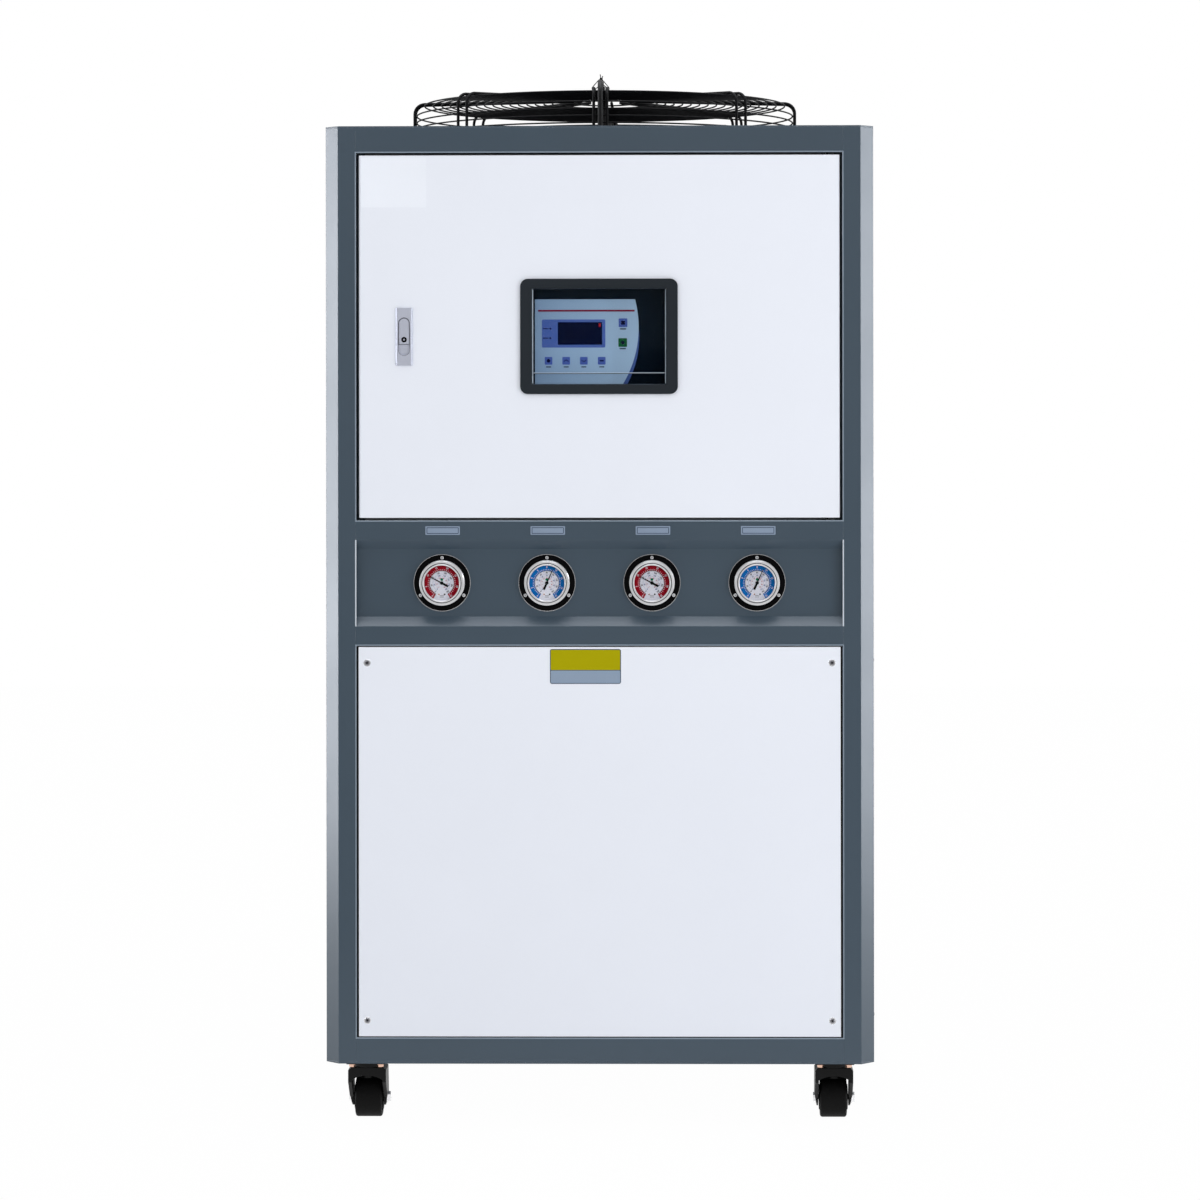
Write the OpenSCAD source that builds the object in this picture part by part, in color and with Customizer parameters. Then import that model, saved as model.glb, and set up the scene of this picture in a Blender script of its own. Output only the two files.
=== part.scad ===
// Air cooled water chiller on casters: sheet metal cabinet, two roof fans, side coils.
// Millimetres, +Z up, the front faces -Y, the floor is z = 0.

/* [Cabinet] */
// Width over the side faces
cabinet_w = 820; // [760:10:1000]
// Depth from the front face to the rear face
cabinet_d = 1450; // [1440:10:1800]
// Size of the 45 degree corner chamfers
chamfer = 20; // [12:1:24]
// Corner post, from the side face to the opening
post_w = 46; // [42:1:60]
// Face width of the middle post of each side
mid_post_w = 46; // [30:1:60]
// Depth of the jambs behind the faces
jamb_d = 30; // [26:1:34]
// Width of the lips that the panels seat on
lip_w = 12; // [8:1:16]
// Sheet thickness of the frame
frame_t = 2; // [1.5:0.5:3]
// Sheet thickness of the panels
panel_t = 1.5; // [1:0.5:2]
// Gap round the screwed panels
panel_gap = 2; // [1:0.5:4]
// Thickness of the base plate
base_t = 3; // [2:0.5:5]
// Thickness of the roof sheet
roof_t = 2; // [1.5:0.5:4]

/* [Storeys] */
// Height of the bottom rails
bottom_rail_h = 35; // [25:1:60]
// Height of the lower openings
lower_open_h = 587; // [500:1:700]
// Height of the flat faces over and under the gauge recess
band_face_h = 28; // [15:1:50]
// Height of the gauge recess at the front face
recess_h = 129; // [115:1:170]
// Height of the sloped walls of the recess
recess_slope_h = 14; // [6:1:16]
// Depth of the gauge recess
recess_d = 14; // [10:1:24]
// Height of the door opening
door_open_h = 551; // [500:1:650]
// Height of the top rails
top_rail_h = 37; // [25:1:60]
// Height of the middle rails of the sides and the rear
mid_rail_h = 28; // [20:1:60]

/* [Door] */
// Gap round the door
door_gap = 5; // [3:0.5:8]
// Depth of the door tray
door_d = 16; // [14:1:18]
// Hinge pin centre, in from the door's right edge
hinge_in = 20; // [16:1:30]
// Hinge pin centre, behind the front face
hinge_back = 7; // [6:0.5:9]
// Hinge pin diameter
hinge_pin_d = 6; // [4:0.5:8]
// Radial clearance of pins and shafts
pin_clear = 0.2; // [0.1:0.05:0.4]
// Length of the hinge barrels
barrel_h = 40; // [20:1:80]
// Depth of the hinge pins in their barrels
pin_seat = 15; // [8:1:30]
// How far the hinge pins pass through the folded returns
pin_proud = 3; // [2:0.5:6]

/* [Window] */
// Width of the window frame
window_w = 235; // [180:1:300]
// Height of the window frame
window_h = 172; // [140:1:220]
// Corner radius of the window frame
window_r = 11.5; // [6:0.5:20]
// Face width of the window frame
window_rim = 17; // [12:0.5:24]
// How far the window frame stands proud of the door
window_proud = 5; // [3:0.5:8]
// Depth of the window collar behind the door face
collar_d = 24; // [18:1:40]
// Wall of the window collar
collar_wall = 5; // [3:0.5:8]
// Fit gap of the pieces set into the window
window_fit = 0.3; // [0.2:0.1:1]
// Thickness of the clear pane
pane_t = 2.5; // [1.5:0.5:4]
// Controller face, behind the door face
controller_back = 14; // [8:1:16]
// Depth of the controller
controller_d = 30; // [20:1:60]

/* [Lock] */
// Lock centre, in from the door's left edge
lock_in = 68; // [40:1:120]
// Width of the lock plate
lock_w = 26; // [22:1:34]
// Height of the lock plate
lock_h = 86; // [70:1:100]
// How far the lock plate stands proud
lock_proud = 4; // [3:0.5:6]
// Width of the bevels on the long edges of the lock plate
lock_bevel = 2.5; // [1:0.5:2.5]
// Depth of the lock case behind the door face
lock_back = 18; // [14:1:30]
// Width of the lever pocket
pocket_w = 16.5; // [14:0.5:18]
// Height of the lever pocket
pocket_h = 56; // [50:1:60]
// Depth of the lever pocket
pocket_d = 9; // [8:0.5:11]
// Depth of the finger hollow under the lever
finger_d = 3; // [2:0.5:5]
// Gap round the lever in its pocket
lever_gap = 0.8; // [0.3:0.1:1]
// Thickness of the lever
lever_t = 5; // [4:0.5:6]
// Lower end of the lever, below the lock's middle
lever_drop = 11; // [6:1:14]
// Lever pivot, below the top of the pocket
pivot_drop = 7; // [6:0.5:9]
// Diameter of the lever's pivot stubs
stub_d = 3; // [2:0.5:4]
// Diameter of the key cylinder on the lever
key_d = 7; // [5:0.5:10]

/* [Gauges] */
// Distance between gauge centres
gauge_pitch = 157; // [110:1:175]
// Diameter of the gauge flange
gauge_flange_d = 85; // [70:1:95]
// Thickness of the gauge flange
gauge_flange_t = 3; // [2:0.5:5]
// Outer diameter of the bezel
bezel_d = 68; // [58:1:69]
// Height of the bezel over the flange
bezel_h = 14.5; // [12:0.5:20]
// Diameter of the dial that shows
dial_d = 53; // [44:1:54]
// Diameter of the gauge case behind the panel
gauge_case_d = 62; // [50:1:66]
// Depth of the gauge case behind the panel
gauge_case_l = 28; // [20:1:50]
// Needle angle of the first and the third gauge in degrees
needle_high_a = 152; // [0:1:360]
// Needle angle of the second and the fourth gauge in degrees
needle_low_a = 66; // [0:1:360]

/* [Fans] */
// Fan centre, behind the front face and ahead of the rear face
fan_set = 400; // [380:5:430]
// Bore radius of the fan cowl
cowl_r = 276; // [230:1:280]
// Depth of the cowl under the roof
cowl_d = 105; // [95:1:115]
// Outer radius of the cowl flange
cowl_flange_r = 322; // [314:1:323]
// Radius of the guard legs
guard_r = 304; // [290:0.5:305]
// Height of the guard over the cowl flange
guard_h = 66; // [50:1:90]
// Rise of the guard's top from its rim to its middle
guard_rise = 7; // [0:1:14]
// Bend radius of the guard spokes
guard_bend = 16; // [10:1:24]
// Diameter of the spoke wire
spoke_d = 4.6; // [4:0.2:6]
// Extra radius of a spoke's run, which takes the end of the bend
run_over = 0.1; // [0.05:0.05:0.3]
// Length of the bend inside the run
run_lap = 1; // [0.5:0.25:1.25]
// Diameter of the ring wire
ring_d = 2.4; // [2:0.2:4]
// Distance between the two wires of a spoke
spoke_pair = 20; // [16:1:24]
// Number of spokes
spoke_n = 8; // [4:1:12]
// Number of rings on the top of the guard
top_ring_n = 16; // [6:1:18]
// Radius of the innermost of these rings
ring_in_r = 84; // [70:1:110]
// Radius of the small ring that ends the spokes
hub_ring_r = 48; // [44:1:60]
// Number of rings on the side of the guard
side_ring_n = 4; // [2:1:5]
// Gap of the welded wires
weld_gap = 0.15; // [0.1:0.05:0.3]
// Width of the arms that carry the motors
motor_arm_w = 30; // [20:1:40]
// Diameter of the motor lead
lead_d = 8; // [6:0.5:9]
// Number of fan blades
blade_n = 6; // [4:1:8]
// Pitch of the fan blades in degrees
blade_pitch = 28; // [20:1:32]
// Half the chord of the fan blades
blade_half = 66; // [50:1:70]
// Radius of the rotor can
rotor_r = 68; // [60:1:80]
// Clearance of the blade tips in the cowl
tip_clear = 10; // [6:1:20]

/* [Coils and control box] */
// Depth of the condenser coils
coil_d = 60; // [40:1:80]
// Width of the coil end plates
coil_end_w = 22; // [14:1:40]
// Set-back of the fin core behind the end plates
core_in = 3; // [2:0.5:6]
// Number of fin ribs on the face of each coil
rib_n = 15; // [6:1:24]
// Width of a fin rib
rib_w = 3; // [2:0.5:6]
// How far the fin ribs stand out of the end plates
rib_out = 1; // [0.5:0.5:1.5]
// Depth of the control box
box_d = 150; // [110:1:170]
// Side clearance between the control box and the coils
box_clear = 6; // [5:1:20]
// Height of the control box mouth
box_h = 430; // [350:1:440]
// Thickness of the mounting plate
plate_t = 2; // [1.5:0.5:4]
// Height of the spacers behind the mounting plate
spacer_h = 8; // [5:1:20]

/* [Ports] */
// Bore diameter of the water sockets
socket_bore = 56.6; // [40:0.2:60]
// Wall of the water sockets
socket_wall = 7; // [5:0.5:10]
// How far the water sockets stand proud of the rear face
socket_proud = 45; // [30:1:80]
// Length of the water sockets behind the rear face
socket_back = 40; // [20:1:60]
// Distance between the water sockets
socket_pitch = 400; // [250:10:460]
// Height of the water sockets over the floor
socket_z = 480; // [300:10:600]
// Bore diameter of the drain socket
drain_bore = 18.6; // [14:0.2:26]
// Wall of the drain socket
drain_wall = 4; // [3:0.5:6]
// How far the drain socket stands proud of the rear face
drain_proud = 25; // [15:1:40]
// Length of the drain socket behind the rear face
drain_back = 30; // [20:1:60]
// Height of the drain socket over the floor
drain_z = 200; // [185:5:240]
// Bore diameter of the cable gland
gland_bore = 18; // [12:1:24]
// Distance of the cable gland under the middle rail
gland_drop = 73; // [40:1:150]

/* [Casters] */
// Overall height of the casters
caster_h = 93.5; // [88:0.5:110]
// Caster centre, in from the side, front and rear faces
caster_in = 59; // [55:1:90]
// Wheel diameter
wheel_d = 60; // [50:1:64]
// Wheel width
wheel_w = 40; // [24:1:42]
// Radius of the hub's shoulders
hub_r = 19; // [12:0.5:20]
// Trail of the wheel behind the swivel axis
trail = 22; // [15:1:26]
// Gap between the wheel and the fork legs
fork_gap = 3; // [3:0.5:6]
// Thickness of the fork legs
fork_t = 5.5; // [4:0.5:7]
// Reach of the fork ahead of the swivel axis
fork_front = 23; // [18:1:28]
// Radius of the fork's arch over the wheel
arch_r = 43; // [30:1:60]
// Radius of the fork's ends round the axle
boss_r = 13; // [10:0.5:16]
// Thickness of the caster plate
caster_plate_t = 4; // [3:0.5:6]
// Width of the caster plate
caster_plate_w = 58; // [50:1:70]
// Length of the caster plate
caster_plate_l = 86; // [70:1:100]
// Radius of the swivel race
race_r = 25; // [20:0.5:28]
// Diameter of the axle
axle_d = 8; // [6:0.5:12]
// Diameter of the kingpin
kingpin_d = 12; // [8:0.5:16]
// Running gap of the swivel
swivel_gap = 0.4; // [0.3:0.1:0.8]

/* [Hidden] */
$fn = 64;
t = frame_t;
fold = frame_t * tan(22.5);
bezel_top = gauge_flange_t + bezel_h;
front_proud = max(window_proud, bezel_top - recess_d);
y_front = -(cabinet_d + socket_proud - front_proud) / 2;
y_rear = y_front + cabinet_d;
y_mid = (y_front + y_rear) / 2;
half_w = cabinet_w / 2;
z_frame = caster_h + base_t;
z_low = z_frame + bottom_rail_h;
z_low_top = z_low + lower_open_h;
band_h = recess_h + 2 * band_face_h;
z_door = z_low_top + band_h;
z_door_top = z_door + door_open_h;
z_roof = z_door_top + top_rail_h;
z_top = z_roof + roof_t;
frame_h = z_roof - z_frame;
z_coil = z_low_top + mid_rail_h;
upper_open_h = z_door_top - z_coil;
open_w = cabinet_w - 2 * post_w;
side_open = cabinet_d - 2 * post_w;
bay_w = (side_open - mid_post_w) / 2;
bay_x = (bay_w + mid_post_w) / 2;
slope_k = frame_t * (norm([recess_d, recess_slope_h]) - recess_slope_h) / recess_d;
door_w = open_w - 2 * door_gap;
door_h = door_open_h - 2 * door_gap;
z_win = z_door + door_open_h / 2;
hinge_x = door_w / 2 - hinge_in;
hinge_y = y_front + hinge_back;
barrel_r = hinge_back - panel_t + 0.5;
pane_w = window_w - 2 * window_rim;
pane_h = window_h - 2 * window_rim + 6;
z_gauge = z_low_top + band_h / 2;
gauge_xs = [-1.5 * gauge_pitch, -0.5 * gauge_pitch, 0.5 * gauge_pitch, 1.5 * gauge_pitch];
fan_ys = [y_front + fan_set, y_rear - fan_set];
z_flange = z_top + frame_t;
ring_side_r = guard_r - spoke_d / 2 - ring_d / 2 - weld_gap;
ring_out_r = guard_r - guard_bend;
guard_slope = atan(guard_rise / ring_out_r);
leg_h = guard_h - guard_bend - spoke_d / 2;
run_x = ring_out_r + guard_bend * sin(guard_slope);
run_z = z_flange + leg_h + guard_bend * cos(guard_slope);
ring_step = (ring_out_r - ring_in_r) / (top_ring_n - 1);
side_step = leg_h / (side_ring_n + 0.4);
z_cowl = z_top - cowl_d;
z_rotor = z_cowl + 16;
rotor_h = 78;
coil_w = bay_w - 2;
coil_back = jamb_d + frame_t + coil_d;
box_w = cabinet_w - 2 * (coil_back + box_clear);
z_box = z_door + 20;
socket_r = socket_bore / 2 + socket_wall;
gland_z = z_low_top - gland_drop;
lock_x = door_w / 2 - lock_in;
lock_case_w = lock_w - 5;
lock_case_h = lock_h - 13;
key_z = key_d / 2 + 3 - lever_drop;
pivot_z = pocket_h / 2 - pivot_drop;
pivot_y = lock_proud - lever_gap - lever_t / 2;
axle_z = wheel_d / 2;
leg_in = wheel_w / 2 + fork_gap;
leg_out = leg_in + fork_t;
crown_t = 12;
race_h = 8;
head_gap = 2;
z_race = caster_h - caster_plate_t - race_h;
z_crown = z_race - swivel_gap - crown_t;
caster_xs = [-half_w + caster_in, half_w - caster_in];
caster_ys = [y_front + caster_in, y_rear - caster_in];

// Places its children on a face of the cabinet: local -Y points out of the face
module on_front() translate([0, y_front, 0]) children();
module on_rear() translate([0, y_rear, 0]) rotate(180) children();
module on_left() translate([-half_w, y_mid, 0]) rotate(-90) children();
module on_right() translate([half_w, y_mid, 0]) rotate(90) children();

// Places its children so that local +Z points out of the front face
module facing() rotate([90, 0, 0]) children();

// Rounded rectangle, centred
module round_rect(w, h, r) {
    square([w - 2 * r, h], center = true);
    square([w, h - 2 * r], center = true);
    for (x = [-1, 1], y = [-1, 1]) translate([x * (w / 2 - r), y * (h / 2 - r)]) circle(r);
}

// Upright slot with round ends, centred
module slot(w, h) {
    square([w, h - w], center = true);
    for (y = [-1, 1]) translate([0, y * (h - w) / 2]) circle(w / 2);
}

// Folded channel along X, open to the back
module channel(len, h) {
    rotate([90, 0, 90])
        linear_extrude(len, center = true)
            polygon([[0, 0], [jamb_d, 0], [jamb_d, t], [t, t],
                     [t, h - t], [jamb_d, h - t], [jamb_d, h], [0, h]]);
}

// Folded panel tray, open to the back, lower edge at z = 0
module tray(w, h, d, e) {
    difference() {
        linear_extrude(h)
            polygon([[-w / 2, d], [-w / 2, e], [-w / 2 + 0.3 * e, 0.3 * e], [-w / 2 + e, 0],
                     [w / 2 - e, 0], [w / 2 - 0.3 * e, 0.3 * e], [w / 2, e], [w / 2, d]]);
        translate([-w / 2 + panel_t, panel_t, panel_t])
            cube([w - 2 * panel_t, d, h - 2 * panel_t]);
    }
}

// Folded corner post
module post() {
    linear_extrude(frame_h)
        polygon([[post_w, 0], [post_w, jamb_d], [post_w + lip_w, jamb_d],
                 [post_w + lip_w, jamb_d + t], [post_w - t, jamb_d + t], [post_w - t, t],
                 [chamfer + fold, t], [t, chamfer + fold], [t, post_w - t],
                 [jamb_d + t, post_w - t], [jamb_d + t, post_w + lip_w],
                 [jamb_d, post_w + lip_w], [jamb_d, post_w], [0, post_w],
                 [0, chamfer], [chamfer, 0]]);
}

module footprint() {
    polygon([[-half_w + chamfer, y_front], [half_w - chamfer, y_front],
             [half_w, y_front + chamfer], [half_w, y_rear - chamfer],
             [half_w - chamfer, y_rear], [-half_w + chamfer, y_rear],
             [-half_w, y_rear - chamfer], [-half_w, y_front + chamfer]]);
}

module slate() color([0.27, 0.31, 0.35]) children();
module white() color([0.90, 0.92, 0.95]) children();
module black() color([0.06, 0.06, 0.07]) children();
module chrome() color([0.75, 0.76, 0.78]) children();
module zinc() color([0.66, 0.68, 0.69]) children();

module front_posts() slate() {
    translate([-half_w, y_front, z_frame]) post();
    translate([half_w, y_front, z_frame]) mirror([1, 0, 0]) post();
}

module rear_posts() slate() {
    translate([-half_w, y_rear, z_frame]) mirror([0, 1, 0]) post();
    translate([half_w, y_rear, z_frame]) rotate(180) post();
}

// Hole of a door hinge pin in a folded return
module pin_hole(z) {
    translate([hinge_x, hinge_y, z - 1])
        cylinder(h = frame_t + 2, r = hinge_pin_d / 2 + pin_clear);
}

module front_rails() slate() {
    difference() {
        on_front() translate([0, 0, z_door_top]) channel(open_w, top_rail_h);
        pin_hole(z_door_top);
    }
    on_front() translate([0, 0, z_frame]) channel(open_w, bottom_rail_h);
}

module gauge_panel() slate() difference() {
    on_front() translate([0, 0, z_low_top])
        rotate([90, 0, 90])
            linear_extrude(open_w, center = true)
                polygon([[jamb_d, 0], [0, 0], [0, band_face_h],
                         [recess_d, band_face_h + recess_slope_h],
                         [recess_d, band_h - band_face_h - recess_slope_h],
                         [0, band_h - band_face_h], [0, band_h], [jamb_d, band_h],
                         [jamb_d, band_h - t], [t, band_h - t],
                         [t, band_h - band_face_h + slope_k],
                         [recess_d + t, band_h - band_face_h - recess_slope_h + slope_k],
                         [recess_d + t, band_face_h + recess_slope_h - slope_k],
                         [t, band_face_h - slope_k], [t, t], [jamb_d, t]]);
    pin_hole(z_door - frame_t);
    for (x = gauge_xs)
        translate([x, y_front + recess_d + t + 1, z_gauge])
            facing() cylinder(h = frame_t + 2, r = gauge_case_d / 2 + window_fit);
}

module rails_of_side() {
    translate([0, 0, z_door_top]) channel(side_open, top_rail_h);
    translate([0, 0, z_frame]) channel(side_open, bottom_rail_h);
    for (x = [-bay_x, bay_x]) translate([x, 0, z_low_top]) channel(bay_w, mid_rail_h);
}

module side_rails() slate() {
    on_left() rails_of_side();
    on_right() rails_of_side();
}

module rear_rails() slate() on_rear() {
    translate([0, 0, z_door_top]) channel(open_w, top_rail_h);
    translate([0, 0, z_frame]) channel(open_w, bottom_rail_h);
    translate([0, 0, z_low_top]) channel(open_w, mid_rail_h);
}

module middle_post() {
    w = mid_post_w / 2;
    translate([0, 0, z_low])
        linear_extrude(z_door_top - z_low)
            polygon([[-w, 0], [w, 0], [w, jamb_d], [w + lip_w, jamb_d], [w + lip_w, jamb_d + t],
                     [w - t, jamb_d + t], [w - t, t], [-w + t, t], [-w + t, jamb_d + t],
                     [-w - lip_w, jamb_d + t], [-w - lip_w, jamb_d], [-w, jamb_d]]);
}

module middle_posts() slate() {
    on_left() middle_post();
    on_right() middle_post();
}

module base_plate() slate() translate([0, 0, caster_h]) linear_extrude(base_t) footprint();

module roof() slate() translate([0, 0, z_roof]) difference() {
    linear_extrude(roof_t) footprint();
    for (y = fan_ys)
        translate([0, y, -1]) cylinder(h = roof_t + 2, r = cowl_r + frame_t + 1, $fn = 128);
}

module drip_tray() zinc() {
    inset = jamb_d + frame_t + window_fit;
    translate([-half_w + inset, y_front + inset, z_coil - 6])
        cube([cabinet_w - 2 * inset, cabinet_d - 2 * inset, 4]);
}

// Places its children at both hinges: local +Z runs from the door's edge to the rail
module at_hinges() translate([hinge_x, hinge_y, 0]) {
    translate([0, 0, z_door_top - door_gap]) children();
    translate([0, 0, z_door + door_gap]) mirror([0, 0, 1]) children();
}

module front_door() white() difference() {
    union() {
        on_front() translate([0, 0, z_door + door_gap]) tray(door_w, door_h, door_d, 3);
        at_hinges() translate([0, 0, -barrel_h]) cylinder(h = barrel_h, r = barrel_r);
    }
    at_hinges() translate([0, 0, -pin_seat])
        cylinder(h = pin_seat + 1, r = hinge_pin_d / 2 + weld_gap);
    translate([0, y_front + 10, z_win])
        facing() linear_extrude(20)
            square([pane_w + 2 * collar_wall + 2, pane_h + 2 * collar_wall + 2], center = true);
    translate([-lock_x, y_front + 10, z_win])
        facing() linear_extrude(20) square([lock_case_w + 1, lock_case_h + 1], center = true);
}

module hinge_pins() black() at_hinges() translate([0, 0, -pin_seat])
    cylinder(h = pin_seat + door_gap + frame_t + pin_proud, r = hinge_pin_d / 2);

// Screwed panel that fills an opening and seats on the lips
module screwed_panel(w, h) {
    translate([0, 0, panel_gap]) tray(w - 2 * panel_gap, h - 2 * panel_gap, jamb_d, 2);
}

module front_lower_panel() white()
    on_front() translate([0, 0, z_low]) screwed_panel(open_w, lower_open_h);

module panels_of_side() {
    for (x = [-bay_x, bay_x]) translate([x, 0, z_low]) screwed_panel(bay_w, lower_open_h);
}

module side_lower_panels() white() {
    on_left() panels_of_side();
    on_right() panels_of_side();
}

module rear_upper_panel() white()
    on_rear() translate([0, 0, z_coil]) screwed_panel(open_w, upper_open_h);

// Hole through the rear panel
module rear_hole(x, z, r) {
    on_rear() translate([x, 10, z]) facing() cylinder(h = 20, r = r);
}

module rear_lower_panel() white() difference() {
    on_rear() translate([0, 0, z_low]) screwed_panel(open_w, lower_open_h);
    for (x = [-1, 1]) rear_hole(x * socket_pitch / 2, socket_z, socket_r + 0.5);
    rear_hole(0, drain_z, drain_bore / 2 + drain_wall + 0.5);
    rear_hole(0, gland_z, gland_bore / 2 + 3.5);
}

module window_frame() black() translate([0, y_front, z_win]) facing() difference() {
    union() {
        linear_extrude(window_proud) round_rect(window_w, window_h, window_r);
        translate([0, 0, -collar_d])
            linear_extrude(collar_d + 1)
                square([pane_w + 2 * collar_wall, pane_h + 2 * collar_wall], center = true);
    }
    translate([0, 0, -collar_d - 1])
        linear_extrude(collar_d + window_proud + 2) square([pane_w, pane_h], center = true);
}

module window_pane() color([0.75, 0.82, 0.88, 0.4]) translate([0, y_front, z_win]) facing()
    translate([0, 0, window_proud - pane_t - 2])
        linear_extrude(pane_t)
            square([pane_w - 2 * window_fit, pane_h - 2 * window_fit], center = true);

module controller() color([0.45, 0.55, 0.70]) translate([0, y_front, z_win]) facing()
    translate([0, 0, -controller_back - controller_d])
        linear_extrude(controller_d)
            square([pane_w - 2 * window_fit, pane_h - 2 * window_fit], center = true);

module at_lock() translate([-lock_x, y_front, z_win]) facing() children();

module lock_body() chrome() at_lock() {
    w = lock_w / 2;
    b = lock_bevel;
    difference() {
        union() {
            rotate([90, 0, 0])
                linear_extrude(lock_h, center = true)
                    polygon([[-w, 0], [w, 0], [w, lock_proud - b], [w - b, lock_proud],
                             [b - w, lock_proud], [-w, lock_proud - b]]);
            translate([0, 0, -lock_back])
                linear_extrude(lock_back + 0.5) square([lock_case_w, lock_case_h], center = true);
        }
        translate([0, 0, lock_proud - finger_d]) linear_extrude(finger_d + 1) slot(pocket_w, pocket_h);
        translate([0, 0, lock_proud - pocket_d]) linear_extrude(pocket_d + 1) intersection() {
            slot(pocket_w, pocket_h);
            translate([-pocket_w, -lever_drop - lever_gap]) square([2 * pocket_w, pocket_h]);
        }
        translate([0, pivot_z, pivot_y]) rotate([0, 90, 0])
            cylinder(h = pocket_w + 2.6, r = stub_d / 2 + pin_clear, center = true);
    }
}

module lock_lever() chrome() at_lock() {
    difference() {
        translate([0, 0, lock_proud - lever_gap - lever_t]) linear_extrude(lever_t) intersection() {
            slot(pocket_w - 2 * lever_gap, pocket_h - 2 * lever_gap);
            translate([-pocket_w, -lever_drop]) square([2 * pocket_w, pocket_h]);
        }
        translate([0, key_z, lock_proud - lever_gap - 1]) cylinder(h = 2, r = key_d / 2);
    }
    translate([0, key_z, lock_proud - lever_gap - 1.5]) cylinder(h = 1.2, r = key_d / 2 - 1.8);
    translate([0, pivot_z, pivot_y]) rotate([0, 90, 0])
        cylinder(h = pocket_w + 2, r = stub_d / 2, center = true);
}

// Each gauge, with local +Z out of the recess floor
module at_gauges() {
    for (x = gauge_xs) translate([x, y_front + recess_d, z_gauge]) facing() children();
}

module gauge_cases() black() at_gauges() {
    cylinder(h = gauge_flange_t, r = gauge_flange_d / 2, $fn = 96);
    translate([0, 0, -gauge_case_l]) cylinder(h = gauge_case_l + 1, r = gauge_case_d / 2);
    cylinder(h = bezel_top - 8, r = dial_d / 2 + 1);
}

module gauge_bezels() chrome() at_gauges() {
    o = bezel_d / 2;
    i = dial_d / 2;
    rotate_extrude($fn = 96)
        polygon([[i + 3.2, gauge_flange_t], [o, gauge_flange_t], [o, gauge_flange_t + 4],
                 [o - 1, gauge_flange_t + 5], [o - 1, bezel_top - 4], [o - 3.5, bezel_top],
                 [i, bezel_top], [i, bezel_top - 1.6], [i + 3.2, bezel_top - 1.6]]);
}

module gauge_dials() white() at_gauges()
    translate([0, 0, bezel_top - 8]) cylinder(h = 1, r = dial_d / 2 + 1);

module gauge_needle(a) {
    translate([0, 0, bezel_top - 7]) {
        cylinder(h = 1.6, r = 2.6);
        rotate(a) linear_extrude(0.8)
            polygon([[-11, -1.6], [-4, -1.6], [0, -1], [dial_d / 2 - 4, -0.35],
                     [dial_d / 2 - 4, 0.35], [0, 1], [-4, 1.6], [-11, 1.6]]);
    }
}

module gauge_needles() black() {
    for (i = [0:3])
        translate([gauge_xs[i], y_front + recess_d, z_gauge])
            facing() gauge_needle(i % 2 == 0 ? needle_high_a : needle_low_a);
}

module gauge_lenses() color([0.8, 0.85, 0.9, 0.3]) at_gauges()
    translate([0, 0, bezel_top - 3.8]) cylinder(h = 2, r = dial_d / 2 + 2.8);

module fan_cowls() slate() {
    for (y = fan_ys) translate([0, y, z_top])
        rotate_extrude($fn = 128)
            polygon([[cowl_r, -cowl_d], [cowl_r + t, -cowl_d], [cowl_r + t, 0],
                     [cowl_flange_r, 0], [cowl_flange_r, t], [cowl_r, t]]);
}

// Height of a spoke's axis and of a ring welded under it, at a distance from the fan's axis
function spoke_z(x) = run_z + (run_x - x) * tan(guard_slope);
function ring_z(x) = spoke_z(x) - (spoke_d / 2 + run_over + ring_d / 2 + weld_gap) / cos(guard_slope);

// One wire of a spoke: leg, bend and rising run to the middle
module spoke_wire() {
    r = spoke_d / 2;
    translate([guard_r, 0, z_flange]) cylinder(h = leg_h, r = r, $fn = 24);
    translate([ring_out_r, 0, z_flange + leg_h]) rotate([90, 0, 0])
        rotate_extrude(angle = 90 - guard_slope, $fn = 32)
            translate([guard_bend, 0]) circle(r, $fn = 24);
    translate([run_x, 0, run_z]) rotate([0, guard_slope - 90, 0]) translate([0, 0, -run_lap])
        cylinder(h = (run_x - hub_ring_r + 4) / cos(guard_slope) + run_lap, r = r + run_over, $fn = 24);
}

module wire_ring(r, z) {
    translate([0, 0, z]) rotate_extrude($fn = 128) translate([r, 0]) circle(ring_d / 2, $fn = 24);
}

module guard() {
    for (i = [0:spoke_n - 1], s = [-1, 1])
        rotate(i * 360 / spoke_n - 90) translate([0, s * spoke_pair / 2, 0]) spoke_wire();
    for (i = [0:top_ring_n - 1]) wire_ring(ring_in_r + i * ring_step, ring_z(ring_in_r + i * ring_step));
    wire_ring(hub_ring_r, ring_z(hub_ring_r));
    for (i = [1:side_ring_n]) wire_ring(ring_side_r, z_flange + i * side_step);
}

module front_guard() black() translate([0, fan_ys[0], 0]) guard();
module rear_guard() black() translate([0, fan_ys[1], 0]) guard();

// Lead from the rotor's middle, out between the wires of the front spoke and down to the roof
module motor_leads() black() {
    r = lead_d / 2;
    bend = guard_bend + r;
    z = z_flange + guard_h + guard_rise;
    out = guard_r + r + 1.5;
    up = z_rotor + rotor_h + weld_gap;
    for (y = fan_ys) translate([0, y, 0]) rotate(-90) {
        translate([0, 0, up]) cylinder(h = z - bend - up, r = r);
        translate([bend, 0, z - bend]) rotate([90, 0, 0]) rotate(90)
            rotate_extrude(angle = 90) translate([bend, 0]) circle(r);
        translate([bend, 0, z]) rotate([0, 90, 0]) cylinder(h = out - 2 * bend, r = r);
        translate([out - bend, 0, z - bend]) rotate([90, 0, 0])
            rotate_extrude(angle = 90) translate([bend, 0]) circle(r);
        translate([out, 0, z_flange]) cylinder(h = z - bend - z_flange, r = r);
    }
}

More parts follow.
